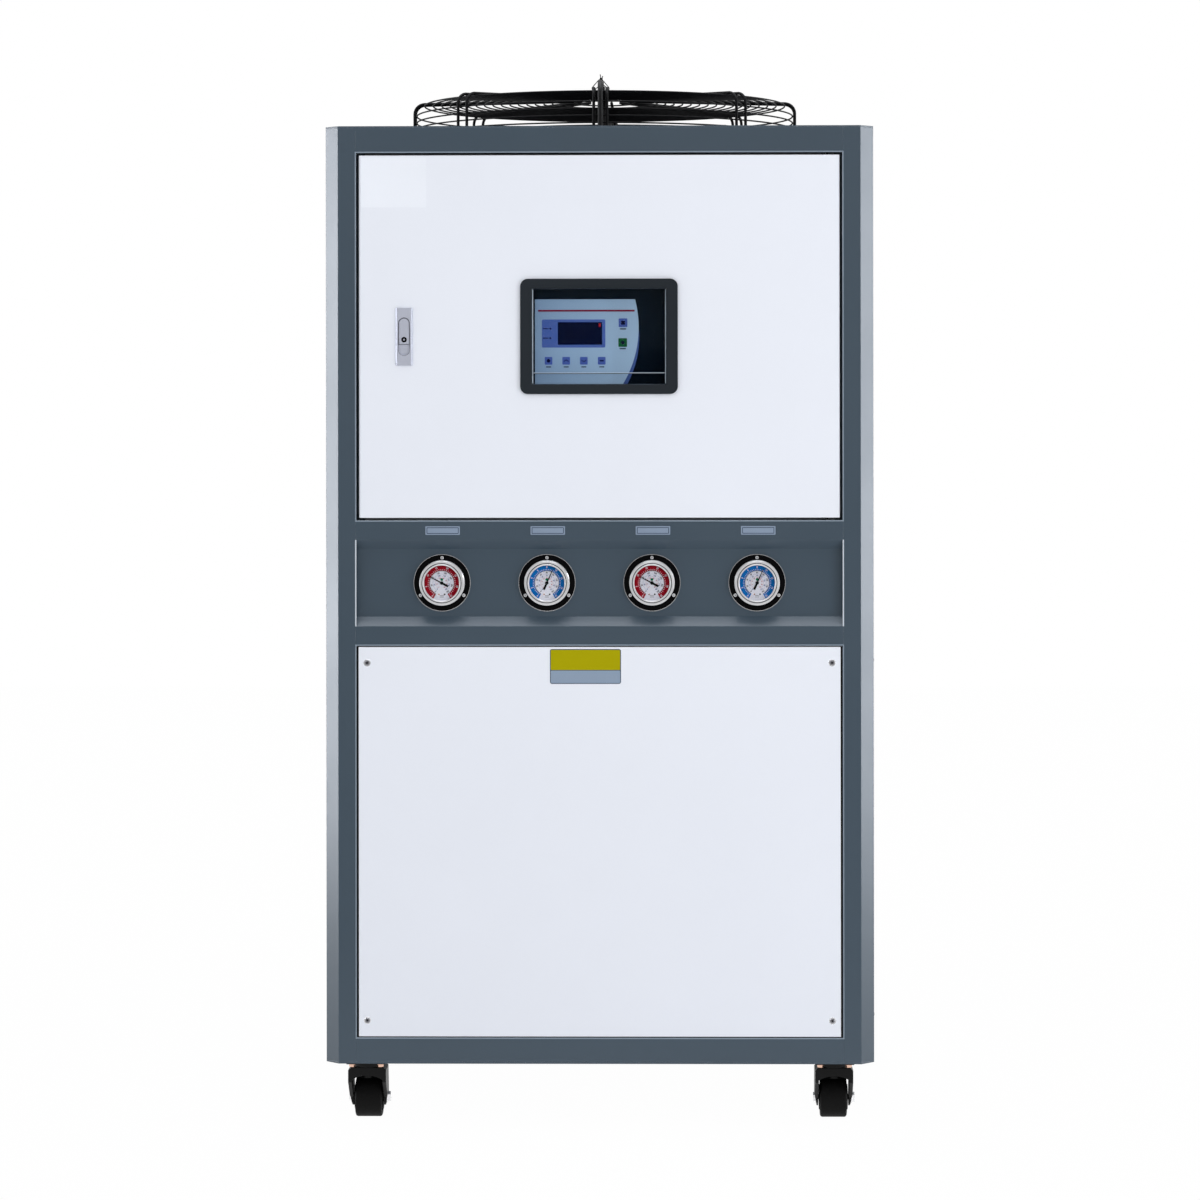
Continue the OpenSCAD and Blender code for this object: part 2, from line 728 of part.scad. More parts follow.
module fan_motors() black() {
    for (y = fan_ys) translate([0, y, 0]) {
        translate([0, 0, z_cowl - 6]) cylinder(h = z_rotor - 0.5 - z_cowl + 6, r = rotor_r - 10);
        for (a = [45, 135]) rotate(a)
            translate([-cowl_r - 1, -motor_arm_w / 2, z_cowl - 6]) cube([2 * cowl_r + 2, motor_arm_w, 6]);
    }
}

// Cambered blade section, tilted to the blade pitch
function camber(u) = 10 * (1 - pow(u / blade_half, 2));
function tilt(u, z) = [u * cos(blade_pitch) - z * sin(blade_pitch),
                       u * sin(blade_pitch) + z * cos(blade_pitch)];

module blade() {
    l = cowl_r - tip_clear - rotor_r + 4;
    b = blade_half;
    translate([rotor_r - 4, 0, z_rotor + rotor_h / 2 - 4]) intersection() {
        rotate([90, 0, 90])
            linear_extrude(l)
                polygon(concat([for (i = [-4:4]) tilt(i * b / 4, camber(i * b / 4) + 1.3)],
                               [for (i = [4:-1:-4]) tilt(i * b / 4, camber(i * b / 4) - 1.3)]));
        translate([0, 0, -b])
            linear_extrude(2 * b)
                polygon([[0, -0.55 * b], [0.3 * l, -0.82 * b], [0.65 * l, -b], [0.93 * l, -0.98 * b],
                         [0.975 * l, -0.5 * b], [0.985 * l, 0], [0.97 * l, 0.5 * b],
                         [0.88 * l, 0.8 * b], [0.6 * l, 0.7 * b], [0.3 * l, 0.6 * b], [0, 0.55 * b]]);
    }
}

module fan_rotors() color([0.12, 0.12, 0.13]) {
    for (y = fan_ys) translate([0, y, 0]) {
        translate([0, 0, z_rotor]) cylinder(h = rotor_h, r = rotor_r);
        for (i = [0:blade_n - 1]) rotate(i * 360 / blade_n) blade();
    }
}

// Ribbed fin block between two end plates, behind the lips of a side bay
module coil() {
    z1 = z_coil + 2;
    h = upper_open_h - 4;
    y1 = jamb_d + frame_t;
    core_w = coil_w - 2 * coil_end_w;
    for (s = [-1, 1])
        translate([s * (coil_w - coil_end_w) / 2 - coil_end_w / 2, y1, z1]) cube([coil_end_w, coil_d, h]);
    translate([-core_w / 2 - 1, y1 + core_in, z1]) cube([core_w + 2, coil_d - 2 * core_in, h]);
    for (i = [0:rib_n - 1])
        translate([((i + 0.5) / rib_n - 0.5) * core_w - rib_w / 2, y1 - rib_out, z1])
            cube([rib_w, rib_out + core_in + 1, h]);
}

module coils() zinc() {
    for (x = [-bay_x, bay_x]) {
        on_left() translate([x, 0, 0]) coil();
        on_right() translate([x, 0, 0]) coil();
    }
}

module control_box() zinc() on_front() {
    y1 = jamb_d + frame_t;
    difference() {
        union() {
            translate([-open_w / 2 + 1, y1, z_door + 1]) cube([open_w - 2, panel_t, door_open_h - 2]);
            translate([-box_w / 2, y1, z_box]) cube([box_w, box_d, box_h]);
        }
        translate([-box_w / 2 + panel_t, y1 - 1, z_box + panel_t])
            cube([box_w - 2 * panel_t, box_d - panel_t + 1, box_h - 2 * panel_t]);
    }
}

module mounting_plate() color([0.80, 0.80, 0.78]) on_front() {
    y2 = jamb_d + frame_t + box_d - panel_t;
    w = box_w - 50;
    h = box_h - 50;
    translate([-w / 2, y2 - spacer_h - plate_t, z_box + 25]) cube([w, plate_t, h]);
    for (x = [-1, 1], z = [-1, 1])
        translate([x * (w / 2 - 25), y2, z_box + 25 + h / 2 + z * (h / 2 - 25)])
            facing() cylinder(h = spacer_h + 0.5, r = 6);
}

// Socket set through the rear panel, local +Z out of the rear face
module socket(bore, wall, proud, back, x, z) {
    i = bore / 2;
    o = i + wall;
    on_rear() translate([x, 0, z]) facing()
        rotate_extrude()
            polygon([[i, -back], [o, -back], [o, 0], [o + 7, 0], [o + 7, 5], [o + 6, 6],
                     [o, 6], [o, proud - 1.5], [o - 1.5, proud], [i, proud]]);
}

module water_sockets() color([0.72, 0.58, 0.30])
    for (x = [-1, 1])
        socket(socket_bore, socket_wall, socket_proud, socket_back, x * socket_pitch / 2, socket_z);

module drain_socket() color([0.72, 0.58, 0.30])
    socket(drain_bore, drain_wall, drain_proud, drain_back, 0, drain_z);

module cable_gland() black() on_rear() translate([0, 0, gland_z]) facing() difference() {
    union() {
        translate([0, 0, -12]) cylinder(h = 13, r = gland_bore / 2 + 3);
        cylinder(h = 8, r = gland_bore / 2 + 8, $fn = 6);
        cylinder(h = 22, r = gland_bore / 2 + 5);
        translate([0, 0, 22]) cylinder(h = 5, r1 = gland_bore / 2 + 5, r2 = gland_bore / 2 + 2);
    }
    translate([0, 0, -13]) cylinder(h = 42, r = gland_bore / 2);
}

module caster_plates() black() {
    for (x = caster_xs, y = caster_ys) translate([x, y, 0]) {
        translate([-caster_plate_w / 2, -caster_plate_l / 2, caster_h - caster_plate_t])
            cube([caster_plate_w, caster_plate_l, caster_plate_t]);
        translate([0, 0, z_race]) cylinder(h = race_h + 1, r = race_r);
        translate([0, 0, z_crown - head_gap - 1])
            cylinder(h = z_race - z_crown + head_gap + 2, r = kingpin_d / 2);
        translate([0, 0, z_crown - head_gap - 4]) cylinder(h = 4, r = kingpin_d / 2 + 4);
    }
}

// Outline of a fork from the side, in Y and Z
module fork_side() {
    polygon([[-fork_front, z_crown + crown_t], [trail + 2, z_crown + crown_t],
             [trail + boss_r, axle_z], [trail - boss_r, axle_z], [-fork_front, z_crown - 10]]);
    translate([trail, axle_z]) circle(boss_r);
}

// Outline of a fork from the front, in X and Z, with the arch over the wheel
module fork_face() difference() {
    polygon([[4 - leg_out, z_crown + crown_t], [-leg_out, z_crown + crown_t - 4],
             [-leg_out, axle_z + 6], [-leg_in - 2, axle_z - boss_r],
             [leg_in + 2, axle_z - boss_r], [leg_out, axle_z + 6],
             [leg_out, z_crown + crown_t - 4], [leg_out - 4, z_crown + crown_t]]);
    intersection() {
        translate([-leg_in, 0]) square([2 * leg_in, z_crown]);
        translate([0, z_crown - arch_r]) circle(arch_r);
    }
}

module fork() {
    difference() {
        intersection() {
            rotate([90, 0, 90]) linear_extrude(2 * leg_out, center = true) fork_side();
            rotate([90, 0, 0]) linear_extrude(2 * (trail + wheel_d), center = true) fork_face();
        }
        translate([0, 0, z_crown - 1]) cylinder(h = crown_t + 2, r = kingpin_d / 2 + pin_clear);
    }
    translate([0, trail, axle_z]) rotate([0, 90, 0])
        cylinder(h = 2 * leg_out + 3, r = axle_d / 2, center = true);
}

module wheel() {
    w = wheel_w / 2;
    r = wheel_d / 2;
    translate([0, trail, axle_z]) rotate([0, 90, 0])
        rotate_extrude($fn = 96)
            polygon([[axle_d / 2 + pin_clear, -w - 1.5], [hub_r, -w - 1.5], [hub_r, -w + 2],
                     [r - 9, -w + 2], [r - 8, -w], [r - 3, -w], [r - 0.9, -w + 0.9], [r, -w + 3],
                     [r, w - 3], [r - 0.9, w - 0.9], [r - 3, w], [r - 8, w], [r - 9, w - 2],
                     [hub_r, w - 2], [hub_r, w + 1.5], [axle_d / 2 + pin_clear, w + 1.5]]);
}

module fork_front_left() black() translate([caster_xs[0], caster_ys[0], 0]) fork();
module fork_front_right() black() translate([caster_xs[1], caster_ys[0], 0]) fork();
module fork_rear_left() black() translate([caster_xs[0], caster_ys[1], 0]) fork();
module fork_rear_right() black() translate([caster_xs[1], caster_ys[1], 0]) fork();
module wheel_front_left() black() translate([caster_xs[0], caster_ys[0], 0]) wheel();
module wheel_front_right() black() translate([caster_xs[1], caster_ys[0], 0]) wheel();
module wheel_rear_left() black() translate([caster_xs[0], caster_ys[1], 0]) wheel();
module wheel_rear_right() black() translate([caster_xs[1], caster_ys[1], 0]) wheel();

front_posts();
rear_posts();
front_rails();
gauge_panel();
side_rails();
rear_rails();
middle_posts();
base_plate();
roof();
drip_tray();
front_door();
hinge_pins();
front_lower_panel();
side_lower_panels();
rear_upper_panel();
rear_lower_panel();
window_frame();
window_pane();
controller();
lock_body();
lock_lever();
gauge_cases();
gauge_bezels();
gauge_dials();
gauge_needles();
gauge_lenses();
fan_cowls();
front_guard();
rear_guard();
motor_leads();
fan_motors();
fan_rotors();
coils();
control_box();
mounting_plate();
water_sockets();
drain_socket();
cable_gland();
caster_plates();
fork_front_left();
fork_front_right();
fork_rear_left();
fork_rear_right();
wheel_front_left();
wheel_front_right();
wheel_rear_left();
wheel_rear_right();
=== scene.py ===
"""Air cooled water chiller: finishes, fasteners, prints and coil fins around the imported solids."""

import math
import random
from collections import namedtuple

import bmesh
import bpy
from mathutils import Matrix, Vector


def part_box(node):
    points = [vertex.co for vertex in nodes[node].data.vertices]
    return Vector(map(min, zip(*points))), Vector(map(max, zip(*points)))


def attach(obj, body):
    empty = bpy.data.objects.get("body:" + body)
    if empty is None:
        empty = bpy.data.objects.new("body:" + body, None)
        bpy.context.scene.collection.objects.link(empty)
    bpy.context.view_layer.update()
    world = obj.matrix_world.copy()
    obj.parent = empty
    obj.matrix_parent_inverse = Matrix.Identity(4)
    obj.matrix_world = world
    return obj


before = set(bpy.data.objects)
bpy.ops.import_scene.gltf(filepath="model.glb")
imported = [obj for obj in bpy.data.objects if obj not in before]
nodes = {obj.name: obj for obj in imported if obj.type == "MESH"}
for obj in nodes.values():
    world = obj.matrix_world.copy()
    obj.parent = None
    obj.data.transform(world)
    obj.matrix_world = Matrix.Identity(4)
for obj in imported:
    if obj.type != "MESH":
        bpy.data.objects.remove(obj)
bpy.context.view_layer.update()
scene = bpy.context.scene

MM = 0.001


def mm(*sizes):
    """Sizes given in millimetres, in metres."""
    return tuple(size * MM for size in sizes)


# Camera, in the photograph's square frame
PHOTO_PX = 1200
AXIS_PX = (635.7, 415)
FOCAL_MM = 108.6
SENSOR_MM = 36.0
CAMERA_DISTANCE = 5.4
CAMERA_X = 0.13
CAMERA_Z = 1.0617
CAMERA_YAW_DEG = 0.8
CAMERA_ROLL_DEG = -0.065
CLIP_END = 200

# Light levels
AMBIENT = 0.76
FLOOR_GLOW = 0.985
FLOOR_MIRRORED = 1.1
FLOOR_HALF = 8.0
FLOOR_COLOUR = (0.92, 0.92, 0.93, 1)
STRIP_COLOUR = (0.91, 0.94, 1.0)
# Level that reflections dim to, and its range: the world's along Y, the floor's in metres before the front
GLOSS_FRONT = 0.2
WORLD_DIM = (-0.75, 0.0)
FLOOR_DIM = (2.0, 0.2)

# Cabinet faces, from the frame
front_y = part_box("front_posts")[0].y
rear_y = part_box("rear_posts")[1].y
half_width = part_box("front_posts")[1].x
middle_y = (front_y + rear_y) / 2

# The four sides as (turn about Z in degrees, distance of the face from the origin)
FRONT = (0, -front_y)
RIGHT = (90, half_width)
REAR = (180, rear_y)
LEFT = (270, half_width)

# Sheet metal sizes that scene pieces line up with
MIDDLE_POST = 46 * MM
PANEL_GAP = 2 * MM
DOOR_GAP = 5 * MM
SCREW_IN = 15 * MM
SCREW_UP = 24.6 * MM

# Noise scales and spreads of the finishes
CLOUD_SCALE = 5.0
CRYSTAL_SCALE = 110.0
HAZE_SCALE = 40.0
ROUGH_SPREAD = 0.15
CRYSTAL_SPREAD = 0.2

# Mesh settings, signs of the corners and names of the casters
SHARP_DEG = 35
DIGIT_BOLD = 0.035
CORNERS = ((1, 1), (-1, 1), (-1, -1), (1, -1))
CASTERS = ("front_left", "front_right", "rear_left", "rear_right")
FLAT = Matrix.Rotation(math.pi / 2, 4, "X")


def linear(*srgb):
    """A colour given in 0 to 255 sRGB as the linear colour that shaders take."""
    steps = [c / 255 for c in srgb]
    return tuple(c / 12.92 if c <= 0.04045 else ((c + 0.055) / 1.055) ** 2.4 for c in steps) + (1.0,)


def scaled(colour, by):
    return tuple(min(1.0, c * by) for c in colour[:3]) + (1.0,)


# Node and material helpers


def feed(tree, node, inputs):
    """Sets a node's inputs to values, or links them to the outputs of other nodes."""
    for key, value in inputs.items():
        if isinstance(value, bpy.types.NodeSocket):
            tree.links.new(value, node.inputs[key])
        else:
            node.inputs[key].default_value = value


def add(tree, kind, inputs=None, **settings):
    """A new shader node with its settings and inputs."""
    node = tree.nodes.new("ShaderNode" + kind)
    for key, value in settings.items():
        setattr(node, key, value)
    feed(tree, node, inputs or {})
    return node


def new_material(name):
    material = bpy.data.materials.new(name)
    material.use_nodes = True
    tree = material.node_tree
    return material, tree, tree.nodes["Principled BSDF"]


def ramp(tree, factor, low, high, start=0.3, end=0.7):
    """A colour that runs from low to high over part of a factor's range."""
    node = add(tree, "ValToRGB", {"Fac": factor})
    node.color_ramp.elements[0].position = start
    node.color_ramp.elements[0].color = low
    node.color_ramp.elements[1].position = end
    node.color_ramp.elements[1].color = high
    return node.outputs["Color"]


def spread(tree, factor, low, high, start=0.3, end=0.7, **settings):
    """A number that runs from low to high over part of a factor's range."""
    inputs = {"Value": factor, "From Min": start, "From Max": end, "To Min": low, "To Max": high}
    return add(tree, "MapRange", inputs, **settings).outputs["Result"]


def surface(name, srgb, rough, metal=0.0, drift=0.04, grain=900.0, relief=0.01, edge=0.0, shine=0.5,
            stretch=(1, 1, 1)):
    """A finish with a slow drift of tone, a fine grain in relief (mm) and softened edges (mm)."""
    material, tree, shader = new_material(name)
    colour = linear(*srgb)
    place = add(tree, "TexCoord").outputs["Object"]
    cloud = add(tree, "TexNoise", {"Vector": place, "Scale": CLOUD_SCALE, "Detail": 5.0}).outputs["Fac"]
    drawn = add(tree, "Mapping", {"Vector": place, "Scale": stretch}).outputs["Vector"]
    fine = add(tree, "TexNoise", {"Vector": drawn, "Scale": grain, "Detail": 3.0}).outputs["Fac"]
    both = add(tree, "Math", {0: cloud, 1: fine}, operation="ADD").outputs[0]
    half = add(tree, "Math", {0: both, 1: 0.5}, operation="MULTIPLY").outputs[0]
    bump = add(tree, "Bump", {"Height": fine, "Distance": relief * MM})
    if edge:
        soft = add(tree, "Bevel", {"Radius": edge * MM}, samples=4)
        feed(tree, bump, {"Normal": soft.outputs["Normal"]})
    feed(tree, shader, {
        "Base Color": ramp(tree, half, scaled(colour, 1 - drift), scaled(colour, 1 + drift)),
        "Roughness": spread(tree, half, rough * (1 - ROUGH_SPREAD), rough * (1 + ROUGH_SPREAD)),
        "Normal": bump.outputs["Normal"],
        "Metallic": metal,
        "Specular IOR Level": shine,
    })
    return material


def galvanised(name, srgb, rough):
    """Zinc with the faint crystal pattern of galvanised sheet."""
    material, tree, shader = new_material(name)
    colour = linear(*srgb)
    place = add(tree, "TexCoord").outputs["Object"]
    inputs = {"Vector": place, "Scale": CRYSTAL_SCALE}
    crystals = add(tree, "TexVoronoi", inputs, voronoi_dimensions="3D").outputs["Color"]
    flake = add(tree, "SeparateColor", {"Color": crystals}).outputs["Red"]
    fine = add(tree, "TexNoise", {"Vector": place, "Scale": 700.0, "Detail": 2.0}).outputs["Fac"]
    bump = add(tree, "Bump", {"Height": fine, "Distance": 0.004 * MM})
    feed(tree, shader, {
        "Base Color": ramp(tree, flake, scaled(colour, 0.86), scaled(colour, 1.08), 0.0, 1.0),
        "Roughness": spread(tree, flake, rough * (1 - CRYSTAL_SPREAD), rough * (1 + CRYSTAL_SPREAD)),
        "Normal": bump.outputs["Normal"],
        "Metallic": 0.85,
    })
    return material


def clear_sheet(name, srgb, rough, index):
    """Clear plastic or glass that lets the lamps through to what lies behind it."""
    material, tree, shader = new_material(name)
    tint = linear(*srgb)
    place = add(tree, "TexCoord").outputs["Object"]
    haze = add(tree, "TexNoise", {"Vector": place, "Scale": HAZE_SCALE, "Detail": 4.0}).outputs["Fac"]
    feed(tree, shader, {"Base Color": tint, "IOR": index, "Transmission Weight": 1.0,
                        "Roughness": spread(tree, haze, rough, rough * 2)})
    shadow = add(tree, "LightPath").outputs["Is Shadow Ray"]
    through = add(tree, "BsdfTransparent", {"Color": tint})
    both = add(tree, "MixShader", {0: shadow, 1: shader.outputs[0], 2: through.outputs[0]})
    feed(tree, tree.nodes["Material Output"], {"Surface": both.outputs[0]})
    return material


def faded_print(name, left, right, start, end):
    """Sheet whose colour runs from left to right between two places along X."""
    material, tree, shader = new_material(name)
    place = add(tree, "TexCoord").outputs["Object"]
    across = add(tree, "SeparateXYZ", {"Vector": place}).outputs["X"]
    share = spread(tree, across, 0.0, 1.0, start, end)
    colour = ramp(tree, share, linear(*left), linear(*right), 0.0, 1.0)
    feed(tree, shader, {"Base Color": colour, "Roughness": 0.4, "Specular IOR Level": 0.0})
    return material


# Finishes
SLATE = surface("slate_powder_coat", (62, 77, 90), 0.34, grain=1500, relief=0.006, edge=1.4)
# Lighter slate on the opening lips: painted highlight along the lips.
SLATE_LIP_HIGHLIGHT = surface("slate_lip_painted_highlight", (124, 138, 152), 0.3, grain=1500, relief=0.004)
# Near-white strips at the ends of the gauge recess: painted highlight on their rounded edges.
RECESS_END_HIGHLIGHT = surface("recess_end_painted_highlight", (196, 204, 213), 0.3, grain=1500, relief=0.004)
WHITE = surface("white_powder_coat", (229, 233, 242), 0.4, drift=0.012, grain=1100, relief=0.006,
                edge=1.2)
BLACK_PLASTIC = surface("black_moulded_plastic", (30, 37, 44), 0.5, grain=1800, relief=0.012,
                        edge=1.4, shine=0.3)
GLOSS_BLACK = surface("gloss_black_enamel", (5, 5, 6), 0.16, grain=300, relief=0.002, edge=0.5,
                      shine=0.14)
BLACK_PAINT = surface("black_paint", (15, 15, 17), 0.55, drift=0.15, relief=0.02, shine=0.14)
CASTER_PAINT = surface("black_caster_paint", (9, 9, 10), 0.42, drift=0.12, relief=0.015, edge=1.5,
                       shine=0.2)
RUBBER = surface("black_tread", (14, 14, 14), 0.68, drift=0.1, grain=500, relief=0.03, edge=1.5,
                 shine=0.12)
LEAD = surface("black_cable_sheath", (18, 18, 19), 0.55, drift=0.1, grain=700, relief=0.02, shine=0.3)
CHROME = surface("chrome_plate", (246, 246, 248), 0.16, metal=0.56, drift=0.03, grain=250,
                 relief=0.001, edge=0.4, shine=0.8)
SATIN_ZINC = surface("satin_zinc_casting", (192, 196, 210), 0.4, metal=0.3, drift=0.03,
                     relief=0.008, edge=0.5)
STEEL = surface("plated_screws", (238, 238, 240), 0.26, metal=0.55, drift=0.05, grain=800,
                relief=0.004)
# Panel screw heads: a darker copy of the screws' plating, painted reflection of the dark surroundings.
DARK_REFLECTION_STEEL = surface("screw_heads_painted_dark_reflection", (132, 132, 136), 0.3, metal=0.75, drift=0.08, grain=800,
                     relief=0.004)
GOLD_ZINC = surface("yellow_passivated_bolts", (222, 184, 164), 0.26, metal=1.0, drift=0.12,
                    grain=500, relief=0.008)
BRASS = surface("turned_brass", (196, 166, 106), 0.32, metal=1.0, drift=0.06, relief=0.008, edge=0.6)
ZINC_SHEET = galvanised("galvanised_sheet", (186, 190, 193), 0.42)
FIN_METAL = surface("aluminium_fins", (150, 154, 158), 0.6, metal=0.25, drift=0.08, grain=260,
                    shine=0.2, stretch=(1, 1, 0.1))
COPPER = surface("copper_tube", (150, 92, 64), 0.5, metal=0.4, drift=0.15, grain=300, shine=0.2)
PANE = clear_sheet("clear_cover", (247, 250, 252), 0.02, 1.1)
LENS = clear_sheet("gauge_lens", (251, 252, 253), 0.01, 1.1)
DIAL = surface("dial_enamel", (232, 231, 240), 0.5, drift=0.02, grain=1500, relief=0.002, shine=0.0)
CONTROLLER = surface("dark_overlay", (6, 16, 27), 0.4, grain=300, relief=0.001, shine=0.0)


def ink(name, *srgb, rough=0.45, shine=0.03):
    """Printed colour: flat ink with a faint uneven tone."""
    return surface(name, srgb, rough, drift=0.05, grain=1600, relief=0.002, shine=shine)


NODE_FINISH = {
    SLATE: ["front_posts", "rear_posts", "front_rails", "gauge_panel", "side_rails", "rear_rails",
            "middle_posts", "base_plate", "roof", "fan_cowls"],
    WHITE: ["front_door", "front_lower_panel", "side_lower_panels", "rear_upper_panel", "rear_lower_panel"],
    BLACK_PLASTIC: ["window_frame", "cable_gland"],
    GLOSS_BLACK: ["gauge_cases"],
    PANE: ["window_pane"],
    LENS: ["gauge_lenses"],
    CONTROLLER: ["controller"],
    SATIN_ZINC: ["lock_body", "lock_lever"],
    CHROME: ["gauge_bezels"],
    DIAL: ["gauge_dials"],
    BLACK_PAINT: ["hinge_pins", "gauge_needles", "front_guard", "rear_guard", "fan_motors", "fan_rotors"],
    LEAD: ["motor_leads"],
    CASTER_PAINT: ["caster_plates"] + ["fork_" + corner for corner in CASTERS],
    RUBBER: ["wheel_" + corner for corner in CASTERS],
    ZINC_SHEET: ["drip_tray", "control_box", "mounting_plate"],
    FIN_METAL: ["coils"],
    BRASS: ["water_sockets", "drain_socket"],
}


def finish_nodes():
    for material, names in NODE_FINISH.items():
        for name in names:
            mesh = nodes[name].data
            mesh.materials.clear()
            mesh.materials.append(material)


# Mesh helpers


def outwards(bm):
    """The mesh with its faces turned outwards."""
    bmesh.ops.recalc_face_normals(bm, faces=bm.faces)
    return bm


def lathe(profile, steps=24):
    """A closed turned form from (radius, height) points, about local Z."""
    bm = bmesh.new()
    line = [bm.verts.new((r, 0, h)) for r, h in profile]
    edges = [bm.edges.new(pair) for pair in zip(line, line[1:])]
    bmesh.ops.spin(bm, geom=line + edges, axis=(0, 0, 1), cent=(0, 0, 0), angle=math.tau, steps=steps,
                   use_merge=True)
    bmesh.ops.remove_doubles(bm, verts=bm.verts, dist=1e-7)
    return outwards(bm)


def ring(profile, steps):
    """A turned ring from a closed (radius, height) section."""
    return lathe(list(profile) + [profile[0]], steps)


def raise_flat(bm, thick, round_edge=0.0):
    """Turns the flat faces of bm, at height 0, into a solid of that thickness."""
    made = bmesh.ops.extrude_face_region(bm, geom=bm.faces[:], use_keep_orig=True)["geom"]
    top = [v for v in made if isinstance(v, bmesh.types.BMVert)]
    bmesh.ops.translate(bm, vec=(0, 0, thick), verts=top)
    if round_edge:
        bm.normal_update()
        rim = [e for e in bm.edges if all(v.co.z > thick / 2 for v in e.verts) and len(e.link_faces) == 2
               and abs(e.link_faces[0].normal.z - e.link_faces[1].normal.z) > 0.5]
        bmesh.ops.bevel(bm, geom=rim, offset=round_edge, segments=2, profile=0.5, affect="EDGES")
    return outwards(bm)


def plate(outline, thick, round_edge=0.0):
    """A flat plate of an outline in local X and Y."""
    bm = bmesh.new()
    bm.faces.new([bm.verts.new((x, y, 0)) for x, y in outline])
    return raise_flat(bm, thick, round_edge)


def hoop(outer, inner, thick):
    """A flat frame between two outlines that have the same number of points."""
    bm = bmesh.new()
    outside = [bm.verts.new((x, y, 0)) for x, y in outer]
    inside = [bm.verts.new((x, y, 0)) for x, y in inner]
    for i in range(len(outer)):
        j = (i + 1) % len(outer)
        bm.faces.new((outside[i], outside[j], inside[j], inside[i]))
    return raise_flat(bm, thick)


def band(inner, outer, start_deg, end_deg, thick, steps):
    """A flat arc band, counted from the local X axis."""
    bm = bmesh.new()
    rows = []
    for i in range(steps + 1):
        a = math.radians(start_deg + (end_deg - start_deg) * i / steps)
        rows.append([bm.verts.new((r * math.cos(a), r * math.sin(a), 0)) for r in (inner, outer)])
    for (a0, b0), (a1, b1) in zip(rows, rows[1:]):
        bm.faces.new((a0, b0, b1, a1))
    return raise_flat(bm, thick)


def round_rect(width, height, radius, corner_steps=5):
    """Outline of a rectangle with round corners, about the origin."""
    points = []
    for corner, (sx, sy) in enumerate(CORNERS):
        cx, cy = sx * (width / 2 - radius), sy * (height / 2 - radius)
        for i in range(corner_steps + 1):
            a = math.pi / 2 * (corner + i / corner_steps)
            points.append((cx + radius * math.cos(a), cy + radius * math.sin(a)))
    return points


def rectangle(width, height):
    """Outline of a rectangle with sharp corners, about the origin."""
    return [(sx * width / 2, sy * height / 2) for sx, sy in CORNERS]


def bar(width, height, thick):
    """A flat bar with slightly rounded corners."""
    return plate(round_rect(width, height, min(width, height) * 0.1, 2), thick)


def stamp(target, source, *matrices):
    """Adds a copy of source to target at each place."""
    for matrix in matrices:
        mesh = bpy.data.meshes.new("stamp")
        source.to_mesh(mesh)
        mesh.transform(matrix)
        target.from_mesh(mesh)
        bpy.data.meshes.remove(mesh)
    return target


def copies(source, places):
    """One mesh with a copy of source at each place."""
    return stamp(bmesh.new(), source, *places)


def show(name, data):
    """A new object in the scene."""
    made = bpy.data.objects.new(name, data)
    scene.collection.objects.link(made)
    return made


def piece(name, bm, material, body="cabinet"):
    """A finished scene piece in the given finish, that rides on a body, the cabinet unless told otherwise.
    """
    mesh = bpy.data.meshes.new(name)
    bm.to_mesh(mesh)
    bm.free()
    mesh.materials.append(material)
    mesh.shade_smooth()
    mesh.set_sharp_from_angle(angle=math.radians(SHARP_DEG))
    made = show(name, mesh)
    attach(made, body)


def middle(name):
    """Middle of a node's box."""
    low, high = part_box(name)
    return (Vector(low) + Vector(high)) / 2


def at(x, y, z=0.0):
    return Matrix.Translation((x, y, z))


def turned(deg, axis="Z"):
    return Matrix.Rotation(math.radians(deg), 4, axis)


def on_face(side, across, up, out=0.0):
    """A place on a cabinet face: local X runs along it, local Y up and local Z out."""
    turn, distance = side
    return turned(turn) @ at(across, -distance - out, up) @ FLAT


def digits(text, height, thick):
    """Plain bold numbers as a flat solid, centred on the origin."""
    curve = bpy.data.curves.new("digits", "FONT")
    curve.body = text
    curve.size = height
    curve.align_x = "CENTER"
    curve.align_y = "CENTER"
    curve.extrude = thick / 2
    curve.offset = height * DIGIT_BOLD
    curve.resolution_u = 2
    holder = bpy.data.objects.new("digits", curve)
    mesh = bpy.data.meshes.new_from_object(holder)
    bm = bmesh.new()
    bm.from_mesh(mesh)
    bpy.data.objects.remove(holder)
    bpy.data.curves.remove(curve)
    bpy.data.meshes.remove(mesh)
    return bm


def washer(r):
    """A flat washer under a screw head of radius r."""
    return lathe([(0, 0.16 * r), (1.3 * r, 0.16 * r), (1.36 * r, 0.1 * r), (1.36 * r, -0.02 * r),
                  (0, -0.02 * r)])


def pan_head(r):
    """A domed screw head with a round-edged recess in its middle."""
    return lathe([(0, 0.3 * r), (0.3 * r, 0.34 * r), (0.42 * r, 0.7 * r), (0.72 * r, 0.6 * r),
                  (0.95 * r, 0.36 * r), (r, 0.18 * r), (r, 0.1 * r), (0, 0.1 * r)])


def cross_slot(r):
    """The dark cross in the recess of a screw head of radius r, painted shade of the cross slot."""
    bm = bar(0.72 * r, 0.2 * r, 0.1 * r)
    stamp(bm, bar(0.2 * r, 0.72 * r, 0.1 * r), Matrix())
    return copies(bm, [at(0, 0, 0.36 * r)])


def hex_head(across_flats, height):
    """A hexagon bolt head with a chamfered top on a round flange."""
    r = across_flats / math.sqrt(3)
    corners = [(r * math.cos(i * math.pi / 3), r * math.sin(i * math.pi / 3)) for i in range(6)]
    bm = plate(corners, height, 0.12 * height)
    flange = lathe([(0, 0.2 * height), (1.25 * r, 0.2 * height), (1.35 * r, 0), (0, 0)])
    return stamp(bm, flange, Matrix())


